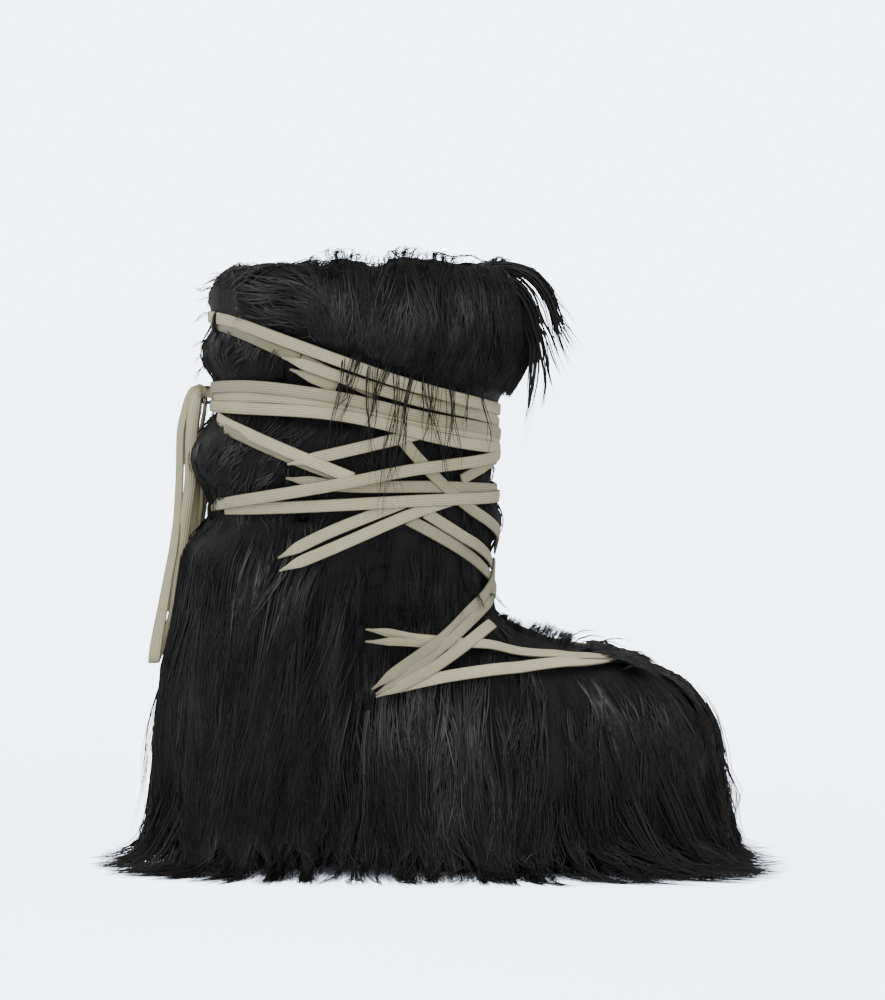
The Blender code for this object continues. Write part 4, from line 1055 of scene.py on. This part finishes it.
def settled(points, cover, share):
    # keeps each point of a lock on the underfur and no further out than its cover
    for strand in points:
        for index, place in enumerate(strand):
            if place[2] < 45:
                continue
            p = Vector(place)
            spot, face = guideTree.find_nearest(p)[:2]
            height = (p - spot).dot(face)
            most = 0.6 + (cover - 0.6) * share[index]
            if height < -0.4:
                strand[index] = p + face * (-0.2 - height)
            elif height > most:
                strand[index] = p - (p - spot).normalized() * (height - most) * (0.8 if cover > 2 else 1.0)
    edge = readOff(brow, points[..., 2]) + 0.3
    over = points[..., 0] - edge
    past = (over > 0) & (points[..., 2] > laced[0]) & (points[..., 2] < laced[1])
    points[..., 0] = np.where(past, edge + 1.2 * np.tanh(over / 3), points[..., 0])
    return points


def heldIn(points):
    # bends what would leave the boot's room back along its edge
    soft = 8.0
    for axis, low, high in ((0, *room["x"]), (1, -room["y"], room["y"]), (2, 0.5 - soft, room["z"])):
        values = points[..., axis]
        over = values - (high - soft)
        values = np.where(over > 0, high - soft + soft * np.tanh(over / soft / 1.6), values)
        if axis < 2:
            under = (low + soft) - values
            values = np.where(under > 0, low + soft - soft * np.tanh(under / soft / 1.6), values)
        points[..., axis] = values
    most = readOff(crown, points[..., 0])
    most = most + 2.2 * np.sin(points[..., 0] * 0.33 + points[..., 1] * 0.21) - 1
    over = points[..., 2] - most
    points[..., 2] = np.where(over > 0, most + 6.5 * np.tanh(over / 9), points[..., 2])
    points[..., 2] = np.maximum(points[..., 2], 0.5)
    return points


def paintedSheenAt(points):
    # how much painted highlight lightens the fur's colour at each point
    shine = np.full(points.shape[:-1], dullness)
    for x, z, wide, high, much in paintedSheen:
        away = ((points[..., 0] - x) / wide) ** 2 + ((points[..., 2] - z) / high) ** 2
        shine += much * np.exp(-away)
    return shine


def strandsFrom(guides, settings, seed):
    # children beside each guide, drawn together towards its tip
    dice = np.random.default_rng(seed)
    paths = np.array([[tuple(p) for p in path] for path, _ in guides])
    ups = np.array([[tuple(n) for n in normals] for _, normals in guides])
    count, fine = paths.shape[:2]
    ahead = unit(np.gradient(paths, axis=1))
    sides = unit(np.cross(ahead, ups))
    kids, rings = settings["children"], settings["points"]
    total = count * kids
    owner = np.repeat(np.arange(count), kids)
    begin = dice.random(total) * settings["shift"]
    finish = 1 - settings.get("uneven", 0.22) * dice.random(total) ** 2
    share = 1 - (1 - np.linspace(0, 1, rings)) ** settings.get("gather", 1.1)
    place = (begin[:, None] + (finish - begin)[:, None] * share) * (fine - 1)
    low = np.clip(np.floor(place).astype(int), 0, fine - 2)
    part = (place - low)[..., None]

    def along(values):
        return values[owner[:, None], low] * (1 - part) + values[owner[:, None], low + 1] * part

    centre, side, up = along(paths), along(sides), along(ups)
    stray = dice.random(total) < settings.get("stray", 0.05)
    clump = np.where(stray, 0.1, settings["clump"] * (0.75 + 0.25 * dice.random(total)))
    beside = dice.normal(size=total) * settings["spread"] * 0.62
    above = dice.random(total) * settings.get("depth", 2.2) + np.where(stray, 1.5, 0.0)
    pull = 1 - clump[:, None] * share ** 1.4
    phase = dice.random(total)[:, None] * 2 * math.pi
    turns = 0.6 + 0.9 * dice.random(total)[:, None]
    wave = settings["wave"] * share * np.sin(phase + turns * 2 * math.pi * share)
    sway = settings["wave"] * 0.5 * share * np.cos(phase * 1.7 + turns * 2 * math.pi * share)
    points = centre + side * (beside[:, None] * pull + wave)[..., None]
    points += up * (above[:, None] * (0.25 + 0.75 * np.sin(share * math.pi * 0.8)) + np.abs(sway))[..., None]
    if "cover" in settings:
        points = settled(points, settings["cover"], share)
    points = heldIn(points)
    thick = settings["width"] / 2 * (0.75 + 0.5 * dice.random(total))
    taper = 1.02 - share ** settings.get("taper", 2.2)
    radius = thick[:, None] * taper * np.minimum(1.0, 0.55 + share * 3)
    tone = dice.random(count)[owner] ** 2 * 0.45 + dice.random(total) ** 5 * 1.6 + 0.1
    # painted shade: each strand's colour darkens towards its root, deep in the fur; the painted highlights
    # then lighten it
    paintedRootShade = 0.15 + 0.85 * np.minimum(1.0, (share / 0.2) ** 1.5)
    return points, radius, tone[:, None] * paintedRootShade * paintedSheenAt(points), np.tile(share, (total, 1))


def bristleTree():
    # turns edges with a radius, tone and along value into closed tapering hairs
    tree = bpy.data.node_groups.new("bristles", "GeometryNodeTree")
    face = tree.interface
    for name, kind in (("Geometry", "Geometry"), ("Sides", "Int"), ("Thickness", "Float"),
                       ("Finish", "Material")):
        face.new_socket(name=name, in_out="INPUT", socket_type="NodeSocket" + kind)
    face.new_socket(name="Geometry", in_out="OUTPUT", socket_type="NodeSocketGeometry")
    put, link = tree.nodes.new, tree.links.new
    given, result = put("NodeGroupInput"), put("NodeGroupOutput")
    curve = put("GeometryNodeMeshToCurve")
    size = put("GeometryNodeInputNamedAttribute")
    size.inputs["Name"].default_value = "radius"
    scaled = put("ShaderNodeMath")
    scaled.operation = "MULTIPLY"
    ring = put("GeometryNodeCurvePrimitiveCircle")
    ring.inputs["Radius"].default_value = 1.0
    sweep = put("GeometryNodeCurveToMesh")
    sweep.inputs["Fill Caps"].default_value = True
    soft = put("GeometryNodeSetShadeSmooth")
    real = put("GeometryNodeRealizeInstances")
    paint = put("GeometryNodeSetMaterial")
    for start, out, end, into in (
            (given, "Geometry", curve, "Mesh"), (given, "Sides", ring, "Resolution"),
            (size, "Attribute", scaled, 0), (given, "Thickness", scaled, 1),
            (curve, "Curve", sweep, "Curve"), (ring, "Curve", sweep, "Profile Curve"),
            (scaled, 0, sweep, "Scale"), (sweep, "Mesh", soft, "Geometry"),
            (soft, "Geometry", real, "Geometry"), (real, "Geometry", paint, "Geometry"),
            (given, "Finish", paint, "Material"), (paint, "Geometry", result, "Geometry")):
        link(start.outputs[out], end.inputs[into])
    return tree


bristles = bristleTree()


def bristleMesh(name, strands, stands=()):
    # strands: lists of (points, radius, tone, along) arrays
    blocks = [[part.reshape(-1, part.shape[-1]) if part.ndim == 3 else part.ravel() for part in s]
              for s in strands]
    points = np.concatenate([b[0] for b in blocks]) * mm
    edges, start = [], 0
    for block in strands:
        total, rings = block[1].shape
        grid = start + np.arange(total * rings).reshape(total, rings)
        edges.append(np.stack([grid[:, :-1], grid[:, 1:]], axis=-1).reshape(-1, 2))
        start += total * rings
    edges = np.concatenate(edges)
    mesh = bpy.data.meshes.new(name + "_paths")
    mesh.vertices.add(len(points))
    mesh.vertices.foreach_set("co", points.ravel())
    mesh.edges.add(len(edges))
    mesh.edges.foreach_set("vertices", edges.ravel())
    for key, column in (("radius", 1), ("tone", 2), ("along", 3)):
        values = np.concatenate([b[column] for b in blocks]).astype(np.float32)
        mesh.attributes.new(key, "FLOAT", "POINT").data.foreach_set("value", values)
    mesh.update()
    paths = addObject(name + "_paths", mesh)
    grow = paths.modifiers.new("bristles", "NODES")
    grow.node_group = bristles
    sockets = {item.name: item.identifier for item in bristles.interface.items_tree
               if item.in_out == "INPUT"}
    grow[sockets["Sides"]] = 3
    grow[sockets["Thickness"]] = mm
    grow[sockets["Finish"]] = hair
    depsgraph = bpy.context.evaluated_depsgraph_get()
    grown = bpy.data.meshes.new_from_object(paths.evaluated_get(depsgraph))
    paths.modifiers.remove(grow)
    bpy.data.objects.remove(paths)
    made = addObject(name, grown)
    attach(made, "root")
    if stands:
        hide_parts(*stands)
    grown.calc_loop_triangles()
    print(name, len(grown.loop_triangles), "triangles")


# Locks placed one by one: each row is a route in mm, from root to tip

quiffRoutes = (
    ((6, -18, 345), (26, -20, 348), (42, -22, 348), (53, -23, 345), (61.5, -24, 337), (66.5, -24, 328),
     (70, -25, 317), (77, -25, 308), (87, -25, 293)),
    ((10, -14, 344), (30, -15, 347), (44, -16, 347), (55, -16, 343), (63, -17, 334), (67.5, -17, 323),
     (71, -17, 312), (80, -18, 296)),
    ((14, -22, 343), (32, -24, 346), (46, -25, 344.5), (56, -26, 338), (63, -26, 328), (66.5, -26, 319),
     (70, -26, 304), (78, -26, 286)),
    ((18, -8, 343), (34, -9, 346), (48, -10, 343.5), (58, -10, 336), (64, -11, 326), (67, -11, 314),
     (68.5, -11, 300)),
    ((20, -16, 343), (38, -17, 345), (50, -18, 341.5), (59, -18, 332), (65, -18, 320), (68, -18, 308),
     (74, -18, 294)),
    ((24, -20, 340), (40, -22, 340), (51, -23, 331), (57.5, -24, 316), (63.5, -24, 306), (67, -25, 295),
     (72.5, -25, 283)),
    ((24, -12, 340), (40, -13, 339), (51, -14, 329), (57.5, -15, 313), (62.5, -16, 297), (65, -16, 283),
     (69.5, -16, 270)),
    ((28, -28, 338), (42, -30, 336), (52, -32, 325), (57.5, -33, 309), (60, -33, 296), (62, -33, 280),
     (60, -33, 264)),
    ((34, -20, 334), (46, -22, 326), (54, -24, 311), (55.5, -25, 299), (55, -26, 288), (53, -26, 272),
     (50, -26, 256)),
    ((36, -24, 332), (47, -27, 320), (54.5, -29, 303), (55, -30, 290), (53, -30, 272)),
)
finestRoutes = (    # its finest outer hairs and those that hang in front of the shaft
    ((32, 4, 342), (46, 5, 332), (53, 6, 310), (55, 6, 286), (52, 6, 236)),
    ((36, -16, 338), (50, -18, 330), (58, -20, 314), (61, -22, 300), (61, -23, 284), (59, -23, 262)),
    ((53, -20, 345), (62, -21, 338), (68, -22, 329), (74, -22, 322), (79, -22, 315), (83, -22, 308)),
    ((-4, -20, 352), (12, -22, 356), (25, -23, 354.5), (32, -24, 352), (40, -24, 347)),
)
sweptRoutes = (     # long locks that curve out over the floor, off the toe and the heel
    ((148, -30, 64), (157, -33, 38), (164, -33, 19), (173, -29, 7), (187, -19, 2), (205, -7, 1)),
    ((153, -14, 64), (162, -15, 38), (166, -14, 19), (173, -10, 8), (184, 0, 3), (193, 8, 1.5)),
    ((138, -46, 62), (149, -51, 36), (157, -53, 18), (166, -53, 7), (180, -50, 2), (196, -46, 1)),
    ((124, -58, 62), (135, -65, 36), (144, -69, 17), (156, -73, 6), (170, -77, 2), (183, -79, 1)),
    ((155, 4, 62), (164, 5, 38), (168, 8, 19), (174, 16, 8), (182, 30, 3), (189, 42, 1.5)),
    ((106, -66, 50), (116, -74, 28), (126, -80, 12), (138, -87, 4), (152, -93, 1)),
    ((-151, -14, 62), (-159, -15, 35), (-168, -15, 14), (-180, -12, 5), (-194, -6, 2), (-207, 0, 1)),
    ((-149, -30, 60), (-157, -32, 33), (-166, -34, 13), (-178, -36, 5), (-196, -37, 1)),
    ((-144, -46, 50), (-153, -51, 27), (-164, -57, 9), (-178, -63, 3), (-190, -67, 1)),
    ((-150, 14, 60), (-160, 16, 34), (-170, 18, 13), (-184, 22, 4), (-198, 26, 1)),
    ((-148, -5, 54), (-156, -5, 30), (-163, -5, 11), (-174, -6, 3), (-188, -8, 1)),
    ((-148, 5, 52), (-157, 6, 29), (-164, 7, 10), (-175, 9, 3), (-186, 12, 1)),
    ((-143, 28, 52), (-153, 32, 28), (-162, 36, 10), (-175, 40, 3), (-188, 43, 1)),
)
ridgeRoutes = (     # hair that lifts off the vamp's ridge
    ((74, -8, 122), (82, -8, 130), (92, -9, 132), (103, -9, 129)),
    ((80, -14, 122), (90, -15, 129), (101, -15, 129), (110, -15, 125)),
    ((70, -4, 124), (78, -4, 132), (87, -4, 135), (94, -4, 134)),
    ((86, -2, 120), (95, -2, 128), (106, -3, 130), (116, -3, 127)),
)
looseRoutes = (     # single hairs that stand off the rear edge, the heel and the toe
    ((-122, -14, 338), (-130, -15, 343), (-138, -16, 344)),
    ((-124, -10, 326), (-133, -11, 328), (-141, -11, 326)),
    ((-126, -6, 320), (-135, -6, 318), (-143, -6, 311)),
    ((-129, -12, 304), (-137, -13, 303), (-143, -13, 298)),
    ((-131, -8, 292), (-138, -8, 286), (-141, -8, 277)), ((-129, -4, 300), (-137, -4, 296), (-141, -4, 288)),
    ((-118, -20, 342), (-126, -22, 348), (-132, -23, 350)),
    ((-150, -8, 122), (-162, -9, 100), (-169, -10, 74), (-170, -10, 44), (-166, -10, 20)),
    ((-152, -20, 110), (-163, -22, 88), (-168, -23, 60), (-167, -24, 30)),
    ((-155, 6, 96), (-166, 6, 70), (-172, 6, 40), (-178, 6, 12)),
    ((156, -14, 96), (163, -15, 76), (168, -16, 50), (170, -16, 24), (164, -16, 8)),
    ((152, -24, 102), (162, -26, 84), (167, -27, 60), (167, -28, 34), (160, -28, 14)),
    ((150, -4, 104), (161, -4, 88), (167, -4, 66), (171, -4, 40), (169, -4, 18)),
    ((158, 8, 88), (166, 8, 66), (171, 8, 40), (174, 8, 14)),
)
hangRoutes = (      # thin tips of the collar that lie over the lace
    (-52, 300, 66), (-47, 300, 44), (-41, 298, 62), (-37, 296, 84), (-33, 295, 60), (-28, 293, 50),
    (-24, 292, 88), (-20, 291, 92), (-15, 290, 64), (-11, 289, 96), (-8, 288, 70), (-4, 287, 60),
    (1, 286, 50), (5, 285, 66), (9, 284, 58), (-44, 299, 34), (-26, 293, 36), (-6, 288, 40),
    (16, 282, 34), (23, 281, 42),
)
coverTufts = (      # x, z, spread, how many, how long, how high over the fur
    (-86, 300, 1.5, 4, 10, (1.5, 4.0)), (-87, 238, 1.5, 4, 12, (1.5, 4.0)),
    (-92, 182, 1.5, 3, 10, (1.5, 4.0)), (-45, 142, 1.5, 3, 9, (1.5, 4.0)),
    (-43, 106, 1.5, 3, 9, (1.5, 4.0)), (14, 158, 5.0, 3, 20, (5.5, 8.5)),
    (2, 146, 6.0, 3, 22, (5.5, 8.5)),
)
topTufts = (        # x, how many, how long, lean forward
    (-122, 22, 9, -0.6), (-108, 24, 9, 0.9), (-94, 26, 8, 1.2), (-80, 26, 8, 1.2), (-66, 40, 12, 0.6),
    (-56, 50, 18, 0.2), (-44, 44, 13, 0.4), (-30, 40, 11, 0.4), (-15, 48, 18, 0.3), (-3, 44, 13, 0.5),
    (12, 44, 11, 0.7), (27, 40, 11, 0.9), (40, 30, 11, 0.9),
)


tufts = {"children": 5, "points": 5, "spread": 3.6, "clump": 0.25, "width": 0.34, "wave": 1.8,
         "shift": 0.1, "depth": 1.5, "above": 334, "beside": 9}
covers = {"children": 7, "points": 5, "spread": 2.2, "clump": 0.4, "width": 0.40, "wave": 1.4,
          "shift": 0.1, "depth": 1.2}
curls = {"children": 9, "points": 6, "spread": 5.0, "clump": 0.10, "width": 0.27, "wave": 3.0,
         "shift": 0.1, "depth": 2.0, "count": 110, "x": (34, 76), "y": (-28, 20), "length": (5, 8.5),
         "under": 165, "below": 160}      # sought from under the collar, and kept where no higher
veil = {"children": 8, "points": 5, "spread": 4.0, "clump": 0.4, "width": 0.70, "wave": 1.2,
        "shift": 0.1, "depth": 1.0, "count": 60, "x": (84, 110), "y": (-28, 24), "length": (14, 26)}
wisps = {"children": 7, "points": 12, "spread": 2.8, "clump": 0.45, "width": 1.25, "wave": 0.9,
         "shift": 0.03, "depth": 1.6, "stray": 0.10, "uneven": 0.20, "taper": 5.0}
swept = {"children": 12, "points": 10, "spread": 5.5, "clump": 0.82, "width": 0.95, "wave": 1.2,
         "shift": 0.10, "depth": 2.4, "uneven": 0.20, "taper": 3.2}
threads = {"children": 4, "points": 9, "spread": 2.2, "clump": 0.6, "width": 0.55, "wave": 2.2,
           "shift": 0.05, "depth": 0.8}
singles = {"children": 5, "points": 10, "spread": 2.0, "clump": 0.5, "width": 0.46, "wave": 1.6,
           "shift": 0.05, "depth": 0.6}


def sideSpot(x, side, z):
    # where a level line from one side meets the underfur, and how it faces there
    return guideTree.ray_cast(Vector((x, side * 200, z)), Vector((0, -side, 0)))[:2]


def guideAlong(route, normal):
    path = curveThrough([Vector(p) for p in route], 3.0)
    last = len(path) - 1
    even = [path[min(round(last * k / guideSteps), last)] for k in range(guideSteps + 1)]
    return even, [normal.normalized()] * (guideSteps + 1)


def guidesFrom(routes, normal):
    return [guideAlong(route, Vector(normal)) for route in routes]


def hangGuides():
    guides = []
    for x, z, length in hangRoutes:
        for side in (-1, 1):
            root, face = sideSpot(x, side, z)
            guides.append(growGuide("collar", root, face, length, chance.normal(), (3.0, 10.5)))
    return guides


def coverGuides():
    # hair of the rear edge and of the side loops, which falls over the lace
    guides = []
    for x, z, spread, count, length, lift in coverTufts:
        for side in (-1, 1):
            for _ in range(count):
                root, face = sideSpot(x + chance.normal() * spread, side, z + chance.normal() * 3)
                if root:
                    guides.append(growGuide("shaft", root, face, length * chance.uniform(0.7, 1.2),
                                            chance.normal(), lift))
    return guides


def topGuides():
    # short hair on the collar's upper edge, up and over
    guides = []
    rim = np.flatnonzero((skinPoints[:, 2] > tufts["above"]) & (skinNormals[:, 2] > -0.2))
    for x, count, length, lean in topTufts:
        beside = rim[np.abs(skinPoints[rim, 0] - x) < tufts["beside"]]
        for index in chance.choice(beside, count):
            root, face = Vector(skinPoints[index]), Vector(skinNormals[index])
            out = outFrom(root)
            grown = length * chance.uniform(0.5, 1.15)
            side = Vector((lean + 0.4 * chance.normal(), 0.5 * chance.normal(), 0))
            up = root + (face * 0.5 + Vector((0, 0, 0.35)) + side * 0.15) * grown * 0.5
            over = up + (out * 0.6 + side * 0.45 + Vector((0, 0, 0.12))) * grown * 0.5
            end = over + (out * 0.5 + side * 0.5 - Vector((0, 0, 0.35))) * grown * 0.4
            guides.append(guideAlong((root - face * 2, up, over, end), face))
    return guides


def curlGuides():
    # short curls on the vamp's ridge in front of the shaft
    guides = []
    for _ in range(curls["count"]):
        place = Vector((chance.uniform(*curls["x"]), chance.uniform(*curls["y"]), curls["under"]))
        root, face = guideTree.ray_cast(place, gravity)[:2]
        if root is None or root.z > curls["below"]:
            continue
        grown = chance.uniform(*curls["length"]) * (0.4 + 0.6 * smooth(place.x, 44, 60))
        side = Vector((0.5, chance.normal() * 0.6, 0))
        up = root + face * 0.5 * grown + side * 0.2 * grown
        over = up + side * 0.5 * grown + Vector((0, 0, 0.1 * grown))
        end = over + side * 0.2 * grown - Vector((0, 0, 0.35 * grown))
        guides.append(guideAlong((root - face, up, over, end), face))
    return guides


def veilGuides():
    # hair that lies over the lace's last bend on the toe
    guides = []
    for _ in range(veil["count"]):
        place = Vector((chance.uniform(*veil["x"]), chance.uniform(*veil["y"]), 500))
        root, face = guideTree.ray_cast(place, gravity)[:2]
        grown = chance.uniform(*veil["length"])
        ahead = Vector((0.9, 0.25 * chance.normal() + root.y * 0.02, -0.25)) * grown
        route = (root - face, root + face * 4.6 + ahead * 0.15, root + face * 4.9 + ahead * 0.6,
                 root + face * 1.6 + ahead)
        guides.append(guideAlong(route, face))
    return guides


guides = makeGuides()
print("stage: guides are grown,", {key: len(value) for key, value in guides.items()})
bristleMesh("fur_locks_collar", [strandsFrom(guides["collar", "near"], fur["collar"], 11),
                                 strandsFrom(guidesFrom(quiffRoutes, (0.3, -0.9, 0.3)), wisps, 12),
                                 strandsFrom(guidesFrom(finestRoutes, (0.3, -0.9, 0.3)), threads, 24),
                                 strandsFrom(hangGuides(), threads, 17)], ["fur_collar"])
bristleMesh("fur_locks_collar_far",
            [strandsFrom(guides["collar", "far"], {**fur["collar"], "children": 9}, 21)])
bristleMesh("fur_locks_rim", [strandsFrom(topGuides(), tufts, 18)])
bristleMesh("fur_locks_shaft", [strandsFrom(guides["shaft", "near"] + guides["shaft", "far"],
                                            fur["shaft"], 13),
                                strandsFrom(coverGuides(), covers, 20)], ["fur_shaft"])
bristleMesh("fur_locks_heel", [strandsFrom(guides["heel", "near"], fur["heel"], 14),
                               strandsFrom(guidesFrom(looseRoutes, (0, -1, 0)), singles, 22),
                               strandsFrom(guidesFrom(sweptRoutes, (0, -1, 0)), swept, 27)], ["fur_heel"])
bristleMesh("fur_locks_heel_far", [strandsFrom(guides["heel", "far"], {**fur["heel"], "children": 12}, 23)])
bristleMesh("fur_locks_foot_near", [strandsFrom(guides["foot", "near"], fur["foot"], 15)], ["fur_foot"])
bristleMesh("fur_locks_vamp", [strandsFrom(curlGuides(), curls, 19), strandsFrom(veilGuides(), veil, 25),
                               strandsFrom(guidesFrom(ridgeRoutes, (0, 0, 1)), singles, 26)])
bristleMesh("fur_locks_foot_far", [strandsFrom(guides["foot", "far"], fur["foot"], 16)])
print("stage: fur is made")


# Webbing loops: short straps that come out of the fur, over the lace's folds and back

webbingSize = {"width": 5.0, "thickness": 1.2, "reach": 8.0}
loopPlaces = {      # x and z of the middle, and how high it stands
    "rear_top": (-125.5, 314, 2.0), "rear_low": (-127.5, 206, 3.4), "side_top": (-88, 290, 1.4),
    "side_middle": (-89, 228, 1.4), "side_low": (-93, 174, 1.4), "ankle": (-43.5, 134, 2.2),
    "vamp": (-38.5, 98, 2.0),
}


def makeLoops():
    straps = []
    for x, z, height in loopPlaces.values():
        for side in (-1, 1):
            middle = sideSpot(x, side, z)[0]
            face = (middle - hideTree.find_nearest(middle)[0]).normalized()
            down = (gravity - face * gravity.dot(face)).normalized()
            path, normals = [], []
            for step in range(13):
                share = step / 6 - 1
                rise = height * (1 - abs(share) ** 3 * 1.9)
                path.append(middle + down * share * webbingSize["reach"] + face * rise)
                normals.append((face + down * share ** 3 * 0.8).normalized())
            straps.append(bandMesh(path, normals, webbingSize["width"], webbingSize["thickness"]))
    path, normals = [], []
    for step in range(13):
        share = step / 6 - 1
        top = guideTree.ray_cast(Vector((106, share * 7, 500)), gravity)[0]
        path.append(top + Vector((0, 0, 2.4 - 3.4 * abs(share) ** 3)))
        normals.append(Vector((0, share * 0.6, 1)).normalized())
    straps.append(bandMesh(path, normals, webbingSize["width"], webbingSize["thickness"]))
    made = joinedBands("webbing_loops", straps, webbing)
    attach(made, "root")
    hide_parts(*[name for name in nodes if name.startswith("loop_")])


makeLoops()


# Solids that show as they are, with their own finishes

def dress(name, finish):
    mesh = nodes[name].data
    mesh.materials.clear()
    mesh.materials.append(finish)


dress("upper", feltFinish("hide_and_lining", (0.006, 0.006, 0.006), (0.030, 0.029, 0.028)))
dress("insole", feltFinish("grey_felt", (0.020, 0.020, 0.019), (0.085, 0.082, 0.078)))
dress("outsole", rubberFinish())
